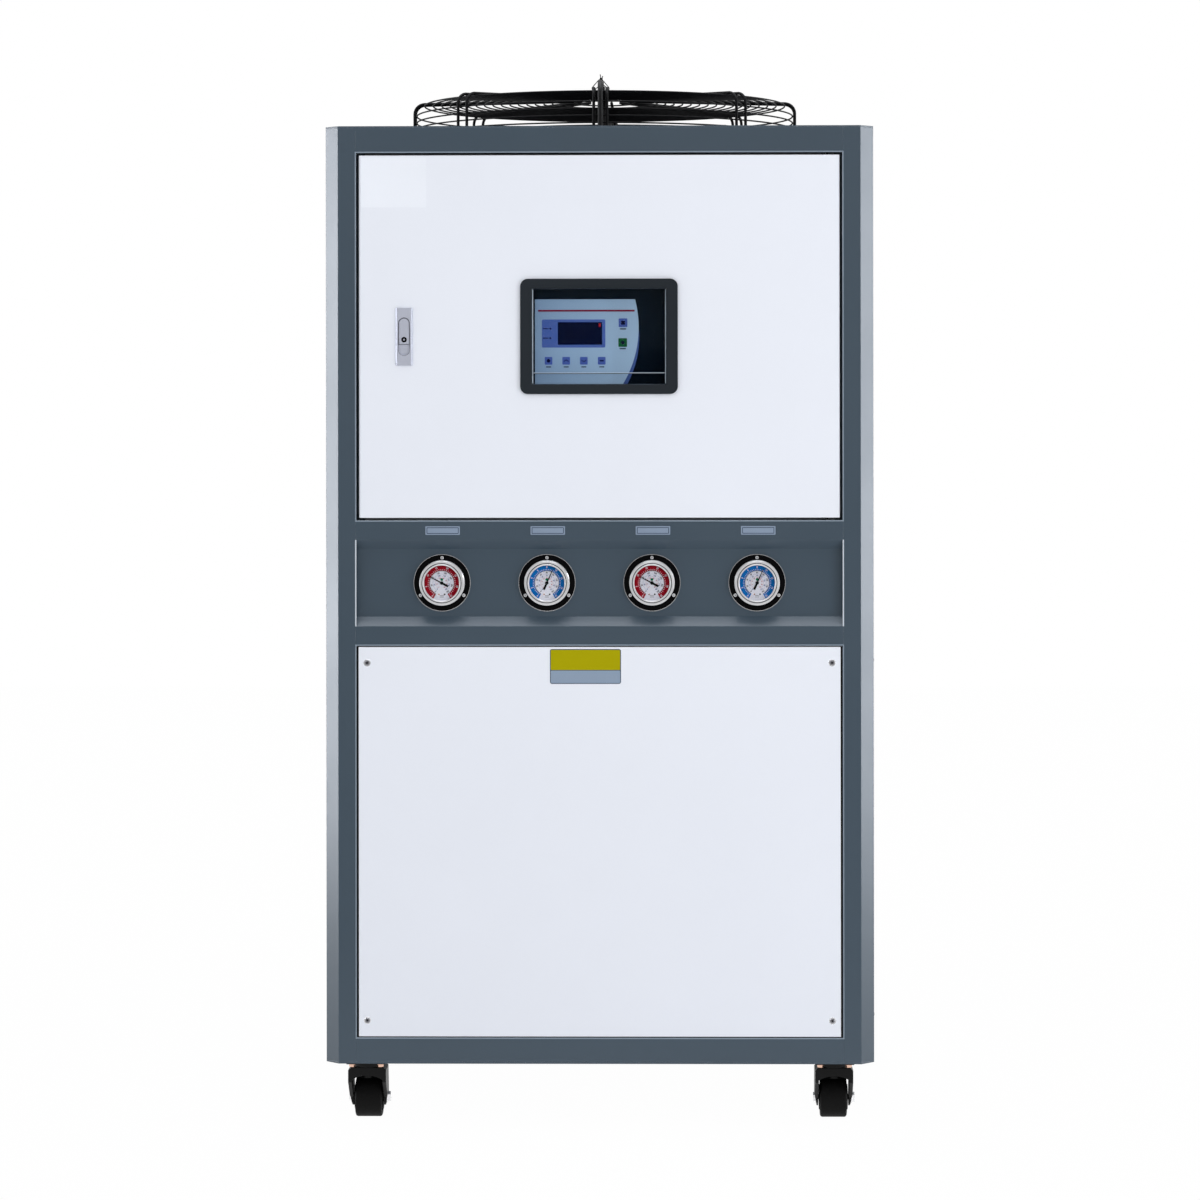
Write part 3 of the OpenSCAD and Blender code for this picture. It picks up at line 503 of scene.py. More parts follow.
# Dark ink for printed marks, also used as painted shade in the cross slots of screw heads.
DARK_INK_AND_SHADE = ink("dark_marks_and_slot_shade", 34, 34, 42)

# Panel screws

PANEL_SCREW = 3.9 * MM


def corner_spots(side, left, right, low, high):
    """Places of the four corner screws of a panel on a cabinet face."""
    columns, rows = (left + SCREW_IN, right - SCREW_IN), (low + SCREW_UP, high - SCREW_UP)
    return [on_face(side, x, z) for x in columns for z in rows]


def panel_screws():
    spots = []
    faces = (("front_lower_panel", FRONT), ("rear_lower_panel", REAR), ("rear_upper_panel", REAR))
    for name, side in faces:
        low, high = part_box(name)
        spots += corner_spots(side, low.x, high.x, low.z, high.z)
    low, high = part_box("side_lower_panels")
    inner = MIDDLE_POST / 2 + PANEL_GAP
    for side, sign in ((RIGHT, 1), (LEFT, -1)):
        for start, end in ((low.y, middle_y - inner), (middle_y + inner, high.y)):
            left, right = sorted((sign * start, sign * end))
            spots += corner_spots(side, left, right, low.z, high.z)
    piece("panel_washers", copies(washer(PANEL_SCREW), spots), STEEL)
    # Heads in the darker plating copy: painted dark reflection.
    piece("panel_screws", copies(pan_head(PANEL_SCREW), spots), DARK_REFLECTION_STEEL)
    # Dark crosses in the screw heads: painted shade of the cross slots.
    piece("panel_screw_slot_shade", copies(cross_slot(PANEL_SCREW), spots), DARK_INK_AND_SHADE)


# Raised lip of the front openings, as an (inwards, outwards) section in millimetres

LIP = [(-0.9, -0.05), (-0.5, 0.5), (0.7, 0.5), (1.1, 0.1), (1.1, -1.0), (-0.05, -1.0)]
BAND_FACE = 28 * MM
# Black strip round the lower panel's edge, painted shadow of the gap round it: width at the sides and at
# top and foot, and how far it stands proud
GAP_SHADOW_WIDTH = mm(2.3, 0.8)
GAP_SHADOW_PROUD = 0.25 * MM


def opening_lip(name, width, low, high):
    """A lip swept round a front opening, with mitred corners."""
    height = high - low
    bm = bmesh.new()
    loops = []
    for inset, out in LIP:
        corners = rectangle(width - 2 * inset * MM, height - 2 * inset * MM)
        loops.append([bm.verts.new((*corner, out * MM)) for corner in corners])
    for here, there in zip(loops, loops[1:] + loops[:1]):
        for i in range(4):
            j = (i + 1) % 4
            bm.faces.new((here[i], here[j], there[j], there[i]))
    bm.transform(on_face(FRONT, 0, (low + high) / 2))
    # The lip is paler than the frame: painted highlight.
    piece(name, outwards(bm), SLATE_LIP_HIGHLIGHT)


def front_lips():
    """Lips round the front openings and at the ends of the gauge recess, paler than the frame as painted
    highlight, and a black strip round the lower panel as painted shadow of its gap.
    """
    width = 2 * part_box("front_rails")[1].x
    low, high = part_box("front_door")
    opening_lip("door_opening_lip", width, low.z - DOOR_GAP, high.z + DOOR_GAP)
    low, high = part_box("front_lower_panel")
    opening_lip("panel_opening_lip", width, low.z - PANEL_GAP, high.z + PANEL_GAP)
    across, up = high.x - low.x, high.z - low.z
    # A black strip over the lower panel's edges: painted shadow of the gap round the panel.
    inside = rectangle(across - 2 * GAP_SHADOW_WIDTH[0], up - 2 * GAP_SHADOW_WIDTH[1])
    gap_shadow = hoop(rectangle(across, up), inside, GAP_SHADOW_PROUD)
    gap_shadow.transform(on_face(FRONT, 0, (low.z + high.z) / 2))
    piece("panel_gap_painted_shadow", gap_shadow, BLACK_PAINT)
    low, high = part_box("gauge_panel")
    length = high.z - low.z - 2 * BAND_FACE
    strip = plate([(-inset * MM, out * MM) for inset, out in LIP], length)
    bm = bmesh.new()
    right = at(width / 2, front_y, low.z + BAND_FACE) @ turned(180, "X") @ at(0, 0, -length)
    stamp(bm, strip, right, Matrix.Diagonal((-1, 1, 1, 1)) @ right)
    # Pale strips at the recess ends: painted highlight.
    piece("recess_end_lips", outwards(bm), RECESS_END_HIGHLIGHT)


# Gauges

RED = ink("red_scale", 158, 18, 34)
BLUE = ink("blue_scale", 22, 112, 190)
PALE_INK = ink("pale_marks", 228, 216, 226)
BLUE_INK = ink("blue_figures", 44, 74, 140)
RED_INK = ink("red_figures", 170, 40, 60)
DOWN_DEG = 270
SCALE_OPEN_DEG = 28
FIGURES_OPEN_DEG = 36
SCALE_INNER = 18.7 * MM
SCALE_OUTER = 26.3 * MM
SCALE_LINE = 0.45 * MM
SCALE_STEPS = 64
PRINT = 0.06 * MM
RED_NUMBERS = range(0, 40, 5)
BLUE_NUMBERS = range(0, 18, 2)
# A printed scale: multiple, radius and height of its numbers, then count to a number, radius,
# length and width of its ticks
Scale = namedtuple("Scale", "times figures_at height ticks ticks_at length width")
PALE_SCALE = Scale(1, SCALE_OUTER - 2.8 * MM, 3.6 * MM, 5, SCALE_INNER + 1.4 * MM, *mm(1.6, 0.7))
DARK_SCALE = Scale(10, SCALE_INNER - 3.4 * MM, 2.9 * MM, 10, SCALE_INNER - 1.0 * MM, *mm(1.1, 0.34))
BLUE_SCALE = Scale(7, *mm(11.2, 2.6), 5, *mm(13.3, 0.9, 0.34))
RED_SCALE = Scale(3, *mm(7.3, 2.1), 5, *mm(9.2, 0.8, 0.3))
LONG_TICK = 1.5
UNIT_BAR = mm(6, 0.6)
UNIT_BARS_DOWN = mm(19, 21)
DIAL_SINK = 0.02 * MM
DIAL_STUD = [mm(*p) for p in ((0, 0.6), (0.9, 0.6), (1.25, 0.3), (1.25, 0), (0, 0))]
STUD_CIRCLE, STUD_ASIDE_DEG = 17.5 * MM, 14
DOT, DOT_UP = mm(4.2, 5.2)
FLANGE_SCREW = 2.6 * MM
FLANGE_SCREW_CIRCLE = 37.5 * MM
FLANGE_SLOT = 0.7 * FLANGE_SCREW
FLANGE_SLOT_UP = 0.12 * FLANGE_SCREW
# Painted highlight round a flange: a bright ring on its edge, as an (outwards, forwards) section in
# millimetres about its edge
FLANGE_HIGHLIGHT_RING = [(-0.4, 0.02), (-0.15, 0.14), (0.1, 0.02), (0.1, -1.2), (-0.4, -1.2)]
# Inner radius, outer radius, rise and foot of the two beads that round a bezel off
BEZEL_BEADS = (mm(26.7, 28.7, 0.7, 0.0), mm(30.0, 33.4, 1.2, -1.6))
BEAD_BACK = 0.4 * MM
BEAD_STEPS = 8
BEZEL_GROOVE = mm(28.7, 30.0)
RIM_STEPS = 96
TAG_SIZE = mm(51.6, 13)
TAG_DOWN = 14 * MM
TAG_ASIDE = 1.6 * MM
TAG_T, TAG_CORNER, TAG_ROUND = mm(0.8, 1, 0.25)
TAG_BORDER = mm(47.6, 9.4)
TAG_LINE = 0.9 * MM
TAG_BORDER_SINK = 0.02 * MM


def gauge_places():
    low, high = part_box("gauge_dials")
    radius = (high.z - low.z) / 2
    pitch = (high.x - low.x - 2 * radius) / 3
    return [low.x + radius + i * pitch for i in range(4)], (low.z + high.z) / 2, low.y


def polar(radius, deg):
    a = math.radians(deg)
    return at(radius * math.cos(a), radius * math.sin(a))


def dial_deg(share):
    """Angle at a share of the numbers' sweep, which runs clockwise and is open at the foot."""
    return DOWN_DEG - FIGURES_OPEN_DEG - share * (360 - 2 * FIGURES_OPEN_DEG)


def dial_ticks(scale, steps):
    """Ticks of a printed scale, every fifth one longer."""
    bm = bmesh.new()
    count = scale.ticks * steps
    for i in range(count + 1):
        deg = dial_deg(i / count)
        tick = bar(scale.length * (1 if i % 5 else LONG_TICK), scale.width, 2 * PRINT)
        stamp(bm, tick, polar(scale.ticks_at, deg) @ turned(deg))
    return bm


def printed_scale(scale, numbers):
    """Plain numbers with their feet to the middle, and the ticks between them."""
    bm = bmesh.new()
    steps = len(numbers) - 1
    for i, number in enumerate(numbers):
        deg = dial_deg(i / steps)
        spot = polar(scale.figures_at, deg) @ turned(deg - 90) @ at(0, 0, PRINT)
        stamp(bm, digits(str(scale.times * number), scale.height, 2 * PRINT), spot)
    return stamp(bm, dial_ticks(scale, steps), Matrix())


def dial_prints(colour, material, places, numbers):
    """Coloured band with pale numbers, and three finer scales inside it."""
    opening = (DOWN_DEG + SCALE_OPEN_DEG, DOWN_DEG + 360 - SCALE_OPEN_DEG)
    dark = printed_scale(DARK_SCALE, numbers)
    stamp(dark, band(SCALE_INNER - SCALE_LINE, SCALE_INNER, *opening, PRINT, SCALE_STEPS), Matrix())
    stamp(dark, bar(*UNIT_BAR, 2 * PRINT), *[at(0, -down) for down in UNIT_BARS_DOWN])
    prints = (("scales", band(SCALE_INNER, SCALE_OUTER, *opening, PRINT, SCALE_STEPS), material),
              ("figures", printed_scale(PALE_SCALE, numbers), PALE_INK),
              ("ticks", dark, DARK_INK_AND_SHADE),
              ("inner_figures", printed_scale(BLUE_SCALE, numbers), BLUE_INK),
              ("core_figures", printed_scale(RED_SCALE, numbers), RED_INK))
    for name, bm, inked in prints:
        piece(f"dial_{name}_{colour}", copies(bm, places), inked)


def gauge_dials(dials):
    """Prints, two studs and a green dot on each dial."""
    dial_prints("red", RED, dials[0::2], RED_NUMBERS)
    dial_prints("blue", BLUE, dials[1::2], BLUE_NUMBERS)
    studs = (("dial_rivets", -STUD_ASIDE_DEG, GOLD_ZINC, "bright_metal"),
             ("dial_stops", STUD_ASIDE_DEG, DARK_INK_AND_SHADE, "black_plastic"))
    for name, aside, material, slot in studs:
        spots = [d @ polar(STUD_CIRCLE, DOWN_DEG + aside) for d in dials]
        piece(name, copies(lathe(DIAL_STUD, 16), spots), material)
    dot = plate(round_rect(DOT, DOT, DOT / 2), 2 * PRINT)
    piece("dial_dots", copies(dot, [d @ polar(DOT_UP, 90) for d in dials]),
          ink("green_mark", 20, 120, 82))


def gauge_bezels(rims):
    """Two round beads on each bezel, and a grey band between them as painted shade of the groove."""
    beads = bmesh.new()
    for inner, outer, rise, foot in BEZEL_BEADS:
        crown, half = (inner + outer) / 2, (outer - inner) / 2
        bead = [(inner, foot)]
        for i in range(BEAD_STEPS + 1):
            a = math.pi * (1 - i / BEAD_STEPS)
            bead.append((crown + half * math.cos(a), foot + rise * math.sin(a)))
        bead += [(outer, foot), (outer, foot - BEAD_BACK), (inner, foot - BEAD_BACK)]
        stamp(beads, ring(bead, RIM_STEPS), *rims)
    piece("bezel_beads", beads, CHROME)
    # Grey band between the beads: painted shade of the groove.
    groove = band(*BEZEL_GROOVE, 0, 360, PRINT, RIM_STEPS)
    bmesh.ops.remove_doubles(groove, verts=groove.verts, dist=1e-7)
    piece("bezel_groove_painted_shade", copies(groove, rims), ink("groove_painted_shade", 62, 62, 66))


def gauge_flanges(flanges):
    """Three screws on each flange, and a bright steel ring round its edge as painted highlight."""
    screws = [f @ polar(FLANGE_SCREW_CIRCLE, deg) for f in flanges for deg in (90, 210, 330)]
    piece("gauge_screws", copies(pan_head(FLANGE_SCREW), screws), STEEL)
    slots = copies(cross_slot(FLANGE_SLOT), [spot @ at(0, 0, FLANGE_SLOT_UP) for spot in screws])
    # Dark crosses in these screw heads: painted shade of the cross slots.
    piece("gauge_screw_slot_shade", slots, DARK_INK_AND_SHADE)
    low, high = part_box("gauge_cases")
    edge = (high.z - low.z) / 2
    lip = ring([(edge + out * MM, ahead * MM) for out, ahead in FLANGE_HIGHLIGHT_RING], RIM_STEPS)
    # Steel ring round the black flange: painted highlight on its edge.
    piece("gauge_flange_painted_highlight", copies(lip, flanges), STEEL)


def gauges():
    xs, z, face = gauge_places()
    bezel_low, bezel_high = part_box("gauge_bezels")
    gauge_dials([at(x, face + DIAL_SINK, z) @ FLAT for x in xs])
    gauge_bezels([at(x, bezel_low.y, z) @ FLAT for x in xs])
    gauge_flanges([at(x, bezel_high.y, z) @ FLAT for x in xs])


def gauge_tags():
    """Blank pale plates with a dark inset border, one above each gauge."""
    xs, _, _ = gauge_places()
    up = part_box("gauge_panel")[1].z - TAG_DOWN
    spots = [on_face(FRONT, x + TAG_ASIDE, up) for x in xs]
    body = plate(round_rect(*TAG_SIZE, TAG_CORNER), TAG_T, TAG_ROUND)
    piece("gauge_tags", copies(body, spots), ink("tag_plate", 130, 145, 165))
    width, height = TAG_BORDER
    border = hoop(round_rect(width, height, 0.8 * TAG_CORNER),
                  round_rect(width - 2 * TAG_LINE, height - 2 * TAG_LINE, 0.5 * TAG_CORNER), 0.08 * MM)
    border.transform(at(0, 0, TAG_T - TAG_BORDER_SINK))
    piece("tag_borders", copies(border, spots), ink("tag_border", 52, 64, 82))


# Blank labels

RATING_LABEL = mm(97, 74.4)
RATING_LABEL_IN, RATING_LABEL_DOWN = mm(4, 3)
PANEL_LABEL = mm(106, 51.9)
PANEL_LABEL_X, PANEL_LABEL_DOWN = mm(-20.8, 4)
PANEL_LABEL_SPLIT = 0.61
PANEL_LABEL_EDGE, PANEL_LABEL_GAP = mm(1.2, 0.4)
LABEL_T = 0.16 * MM
LABEL_CORNER, PANEL_LABEL_CORNER = mm(1.5, 3)
FIELD_OUT = 0.12 * MM


def label(name, left, right, low, high, material, out=0.0, radius=LABEL_CORNER, body="cabinet"):
    """A blank sticker on the front, between two places across and two heights."""
    shape = plate(round_rect(right - left, high - low, radius), LABEL_T)
    shape.transform(on_face(FRONT, (left + right) / 2, (low + high) / 2, out))
    piece(name, shape, material, body)


def labels():
    low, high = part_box("front_door")
    left, top = low.x + RATING_LABEL_IN, high.z - RATING_LABEL_DOWN
    label("rating_label", left, left + RATING_LABEL[0], top - RATING_LABEL[1], top,
          ink("label_white", 233, 237, 245, rough=0.3), body="door")
    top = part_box("front_lower_panel")[1].z - PANEL_LABEL_DOWN
    left, right = PANEL_LABEL_X - PANEL_LABEL[0] / 2, PANEL_LABEL_X + PANEL_LABEL[0] / 2
    low, inset = top - PANEL_LABEL[1], PANEL_LABEL_EDGE
    label("panel_label", left, right, low, top, ink("label_edge", 62, 76, 96, rough=0.35),
          radius=PANEL_LABEL_CORNER)
    split = low + PANEL_LABEL[1] * (1 - PANEL_LABEL_SPLIT)
    label("panel_label_upper", left + inset, right - inset, split + PANEL_LABEL_GAP, top - inset,
          ink("label_yellow", 164, 156, 6, rough=0.35), FIELD_OUT)
    label("panel_label_lower", left + inset, right - inset, low + inset, split - PANEL_LABEL_GAP,
          ink("label_blue_grey", 136, 152, 172, rough=0.35), FIELD_OUT)


# Controller overlay, in millimetres about the window's middle

OVERLAY_LEFT, OVERLAY_TOP = -96.2, 55.9
ARC_CENTRE, ARC_RADIUS = (-106.0, 14.0), 165.0
STRIPE_CENTRE, STRIPE_RADIUS = (-90.6, 0.0), 150.0
STRIPE_TOP = 10.0
DISPLAY = (-85.8, 9.1, -16.3, 25.7)
SCREEN = (-61.9, 4.3, -12.1, 21.6)
SCREEN_MARK = (-0.6, 2.0, 14.6, 19.8)
LEDS_X, LEDS_Z = -73.1, (11.9, -2.2)
BUTTONS_X = (-75.9, -49.5, -23.1, 3.7)
BUTTONS_Z = -36.1
BUTTON, SIDE_BUTTON = 11.5, 13.0
SIDE_BUTTONS = ((35.6, 20.7), (35.1, -8.9))
TITLE_RULE = (-91.7, 53.0, 38.8)
TITLE_RULE_HALF = 1.4
CAPTION_DOWN, CAPTION_HALF = 9.2, 0.75
KEY_CAPTION, SIDE_CAPTION = 7.5, 9.5
LED_CAPTION = (-11, -3)
# Size and corner radius of the round and square signs
LED, KEY_DOT, STOP_SIGN, START_SIGN = (2.8, 1.3), (5.5, 2.7), (6.0, 0.8), (5.6, 2.8)
KEY_BAR_HALF = (3, 1)
CHEVRON = 3.6
ARC_STEPS = 24
OVERLAY_UP, STRIPE_OVER = 0.4, 0.4
# Metres along X between which the sheet's colour fades
FADE_X = (-0.09, 0.06)
# Layers of the overlay as (height over the controller's face, thickness)
SHEET_LAYER, STRIPE_LAYER = (0.0, 0.25), (0.0, 0.22)
BLOCK_LAYER, SCREEN_LAYER = (0.2, 0.4), (0.5, 0.3)
MARK_LAYER, LED_LAYER = (0.7, 0.15), (0.5, 0.5)
KEY_LAYER, KEY_MARK_LAYER = (0.2, 0.6), (0.75, 0.2)
RULE_LAYER, CAPTION_LAYER = (0.2, 0.15), (0.65, 0.15)


def arc_x(centre, radius, z):
    """Place across at which a round edge of the overlay crosses a height."""
    return centre[0] + math.sqrt(radius**2 - (z - centre[1]) ** 2)


def overlay_piece(name, outlines, material, layer):
    out, thick = layer
    place = middle("controller")
    spot = at(place.x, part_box("controller")[0].y - out * MM, place.z) @ FLAT
    bm = bmesh.new()
    for outline in outlines:
        stamp(bm, plate([(x * MM, y * MM) for x, y in outline], thick * MM), spot)
    piece(name, bm, material, "door")


def box_outline(left, right, low, high, radius=1.0):
    middle_x, middle_z = (left + right) / 2, (low + high) / 2
    outline = round_rect(right - left, high - low, radius, 4)
    return [(x + middle_x, z + middle_z) for x, z in outline]


def square_at(x, z, size, radius=1.2):
    return box_outline(x - size / 2, x + size / 2, z - size / 2, z + size / 2, radius)


def chevron(x, z, size, up):
    s = size if up else -size
    wings = ((-size, -0.5), (-size, -0.1), (0, 0.6), (size, -0.1), (size, -0.5), (0, 0.2))
    return [(x + dx, z + dz * s) for dx, dz in wings]


def key_icons():
    """Plain signs on the keys: dot, up, down, bar, square and dot."""
    first, second, third, fourth = BUTTONS_X
    wide, tall = KEY_BAR_HALF
    return [square_at(first, BUTTONS_Z, *KEY_DOT), chevron(second, BUTTONS_Z, CHEVRON, True),
            chevron(third, BUTTONS_Z, CHEVRON, False),
            box_outline(fourth - wide, fourth + wide, BUTTONS_Z - tall, BUTTONS_Z + tall, 0.5),
            square_at(*SIDE_BUTTONS[0], *STOP_SIGN), square_at(*SIDE_BUTTONS[1], *START_SIGN)]


def caption(left, right, z):
    return box_outline(left, right, z - CAPTION_HALF, z + CAPTION_HALF, 0.5)


def captions():
    """Plain bars in place of words, under the keys and beside the lamps."""
    spots = [(x, BUTTONS_Z, KEY_CAPTION) for x in BUTTONS_X]
    spots += [(x, z, SIDE_CAPTION) for x, z in SIDE_BUTTONS]
    bars = [caption(x - wide / 2, x + wide / 2, z - CAPTION_DOWN) for x, z, wide in spots]
    return bars + [caption(LEDS_X + LED_CAPTION[0], LEDS_X + LED_CAPTION[1], z) for z in LEDS_Z]


def overlay_sheet():
    """The pale sheet with its round right edge, and the stripe beside it."""
    low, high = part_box("controller")
    bottom = (low.z - high.z) / 2 / MM + OVERLAY_UP
    shares = [i / ARC_STEPS for i in range(ARC_STEPS + 1)]
    rows = [bottom + (OVERLAY_TOP - bottom) * share for share in shares]
    outline = [(OVERLAY_LEFT, OVERLAY_TOP), (OVERLAY_LEFT, bottom)]
    outline += [(arc_x(ARC_CENTRE, ARC_RADIUS, z), z) for z in rows]
    # The sheet is darker towards the left.
    pale = faded_print("overlay_blue", (138, 164, 194), (166, 192, 217), *FADE_X)
    overlay_piece("controller_sheet", [outline], pale, SHEET_LAYER)
    rows = [bottom + (STRIPE_TOP - bottom) * share for share in shares]
    stripe = [(arc_x(ARC_CENTRE, ARC_RADIUS, z), z) for z in reversed(rows)]
    stripe += [(arc_x(STRIPE_CENTRE, STRIPE_RADIUS, z) + STRIPE_OVER, z) for z in rows]
    overlay_piece("controller_stripe", [stripe], ink("overlay_stripe", 66, 88, 146), STRIPE_LAYER)


def controller():
    """The overlay's sheet, then its display, keys, signs and rules."""
    overlay_sheet()
    glass = surface("screen_glass", (2, 8, 38), 0.25, grain=200, relief=0.001, shine=0.0)
    keys = [square_at(x, BUTTONS_Z, BUTTON) for x in BUTTONS_X]
    keys.append(square_at(*SIDE_BUTTONS[0], SIDE_BUTTON))
    green_key = square_at(*SIDE_BUTTONS[1], SIDE_BUTTON)
    leds = [square_at(LEDS_X, z, *LED) for z in LEDS_Z]
    left, right, z = TITLE_RULE
    rule = box_outline(left, right, z - TITLE_RULE_HALF, z + TITLE_RULE_HALF, 0.6)
    prints = (
        ("display_block", [box_outline(*DISPLAY, 1.8)], ink("display_blue", 74, 98, 168), BLOCK_LAYER),
        ("display_screen", [box_outline(*SCREEN, 0.6)], glass, SCREEN_LAYER),
        ("display_mark", [box_outline(*SCREEN_MARK, 0.4)], ink("mark_red", 176, 28, 38), MARK_LAYER),
        ("display_leds", leds, ink("led_dark", 10, 12, 34), LED_LAYER),
        ("controller_keys", keys, ink("key_blue", 74, 94, 166), KEY_LAYER),
        ("controller_green_key", [green_key], ink("key_green", 22, 84, 48), KEY_LAYER),
        ("key_marks", key_icons(), ink("key_mark", 10, 14, 48), KEY_MARK_LAYER),
        ("overlay_rule", [rule], ink("rule_red", 122, 28, 54), RULE_LAYER),
        ("caption_rules", captions(), ink("caption_blue", 14, 20, 48), CAPTION_LAYER),
    )
    for row in prints:
        overlay_piece(*row)


# Edges of the clear cover, as (width, depth)

COVER_UPRIGHT = mm(1.3, 1.2)
COVER_LIP = mm(1.0, 1.4)
COVER_GROOVE = mm(0.9, 0.8)
COVER_LINE = mm(0.8, 0.6)
COVER_LINE_BACK, COVER_GROOVE_BACK = mm(0.7, 1.0)
COVER_ROUND = 0.3 * MM
COVER_SINK = 0.1 * MM
UPRIGHT_IN = mm(1.2, 1.0)
UPRIGHT_SHORT, LIP_SHORT = mm(3, 4)
LIP_Z, GROOVE_Z = mm(-54.4, -55.5)


def cover_edges():
    """Polished edges of the clear cover as painted highlights: a thin grey line round it, two pale uprights
    and a pale lip near its foot, with a dark strip under the lip as painted shadow.
    """
    low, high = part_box("window_pane")
    width, height = high.x - low.x, high.z - low.z
    place = middle("window_pane")
    spot = at(place.x, high.y + COVER_SINK, place.z) @ FLAT
    bm = bmesh.new()
    wide, deep = COVER_UPRIGHT
    upright = plate(round_rect(wide, height - UPRIGHT_SHORT, 0.4 * MM), deep, COVER_ROUND)
    stamp(bm, upright, spot @ at(UPRIGHT_IN[0] - width / 2, 0, -deep),
          spot @ at(width / 2 - UPRIGHT_IN[1], 0, -deep))
    wide, deep = COVER_LIP
    lip = plate(round_rect(width - LIP_SHORT, wide, COVER_ROUND), deep, COVER_ROUND)
    stamp(bm, lip, spot @ at(0, LIP_Z, -deep))
    # Pale opaque strips on the clear cover: painted highlights of its polished edges.
    edge_highlight = surface("cover_edge_painted_highlight", (206, 216, 226), 0.18, drift=0.05, grain=400, relief=0.002)
    piece("cover_edges", bm, edge_highlight, "door")
    wide, deep = COVER_LINE
    outline = hoop(round_rect(width, height, 1 * MM),
                   round_rect(width - 2 * wide, height - 2 * wide, 0.5 * MM), deep)
    outline.transform(spot @ at(0, 0, -COVER_LINE_BACK))
    # Grey line round the cover: painted highlight of its edge.
    piece("cover_outline_painted_highlight", outline, ink("cover_outline_painted_highlight", 74, 84, 96), "door")
    wide, deep = COVER_GROOVE
    shadow = plate(round_rect(width - LIP_SHORT, wide, COVER_ROUND), deep)
    shadow.transform(spot @ at(0, GROOVE_Z, -COVER_GROOVE_BACK))
    # Dark strip under the cover's lip: painted shadow in the groove.
    piece("cover_groove_painted_shadow", shadow, ink("groove_painted_shadow", 12, 22, 40), "door")


# Lock

KEY_UP = 6.5 * MM
KEY_COLLAR = mm(1.4, 4.2)
COLLAR_DEEP, COLLAR_PROUD = mm(0.9, 0.3)
POCKET = mm(16.5, 56)
POCKET_LINE = 0.5 * MM


def lock_details():
    """Black ring of the key cylinder in the lever, and a grey line round the finger pocket's rim as painted
    shade.
    """
    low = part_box("lock_lever")[0]
    inner, outer = KEY_COLLAR
    collar = ring([(inner, -COLLAR_DEEP), (inner, 0.1 * MM), (inner + 0.3 * MM, COLLAR_PROUD),
                   (outer - 0.5 * MM, COLLAR_PROUD), (outer, 0.05 * MM), (outer, -COLLAR_DEEP)], 32)
    collar.transform(at(middle("lock_lever").x, low.y, low.z + KEY_UP) @ FLAT)
    black = ink("key_black", 7, 7, 9, rough=0.6, shine=0.05)
    piece("key_collar", collar, black, "lever")
    place = middle("lock_body")
    wide, tall = POCKET
    line = 2 * POCKET_LINE
    rim = hoop(round_rect(wide + line, tall + line, (wide + line) / 2, 12),
               round_rect(wide, tall, wide / 2, 12), PRINT)
    rim.transform(at(place.x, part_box("lock_body")[0].y, place.z) @ FLAT)
    # Grey line round the pocket's rim: painted shade.
    piece("lock_pocket_painted_shade", rim, ink("pocket_painted_shade", 96, 98, 108), "door")


# Fans and guards

SPOKES = 8
FOOT_SIZE = mm(44, 15)
FOOT_CORNER, FOOT_T, FOOT_ROUND = mm(4, 2.2, 0.5)
FAN_BOLT = mm(8, 4)
FAN_BOLT_CIRCLE = 314 * MM
GUARD_RADIUS = 304 * MM
SPOKE_PAIR = 20 * MM
SPOKE_WIRE = 4.6 * MM
GUARD_RIM = 288 * MM
GUARD_RISE = 7 * MM
GUARD_HEIGHT = 66 * MM
TIE_REACH = mm(110, 200, 282)
TIE_STRIP = 1.1 * MM
TIE_WIDTH = 2.6 * MM
TIE_GAP, WIRE_SPARE = mm(0.15, 0.1)
TIE_LOCK = mm(4.4, 3.6, 4.2)
TIE_LOCK_PLACE = mm(1, 1.2, -0.8)
# Place across, length and lean in degrees of a tie's two tails
TIE_TAILS = ((0, 7 * MM, 10), (2.6 * MM, 4.5 * MM, -22))
TIE_TAIL_WIDE, TIE_TAIL_UP, TIE_TAIL_IN = mm(1.3, 1.5, 0.3)


def fan_centres():
    return [middle(name).y for name in ("front_guard", "rear_guard")]


def fan_fixings():
    """Foot plates under the guard's wire pairs and bolts round the cowl flange."""
    flange_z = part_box("fan_cowls")[1].z
    feet, bolts = [], []
    for y in fan_centres():
        for i in range(SPOKES):
            turn = at(0, y, flange_z) @ turned(360 * i / SPOKES - 90)
            feet.append(turn @ at(GUARD_RADIUS, 0) @ turned(90))
            bolts.append(turn @ turned(180 / SPOKES) @ at(FAN_BOLT_CIRCLE, 0))
    foot = plate(round_rect(*FOOT_SIZE, FOOT_CORNER), FOOT_T, FOOT_ROUND)
    piece("guard_feet", copies(foot, feet), BLACK_PAINT)
    piece("cowl_bolts", copies(hex_head(*FAN_BOLT), bolts), STEEL)


def snug(circles, gap, steps=48):
    """Outline of a strap pulled tight round (x, y, radius) circles, at a gap from them."""
    points = []
    for i in range(steps):
        a = math.tau * i / steps
        x, y, r = max(circles, key=lambda c: c[0] * math.cos(a) + c[1] * math.sin(a) + c[2])
        points.append((x + (r + gap) * math.cos(a), y + (r + gap) * math.sin(a)))
    return points


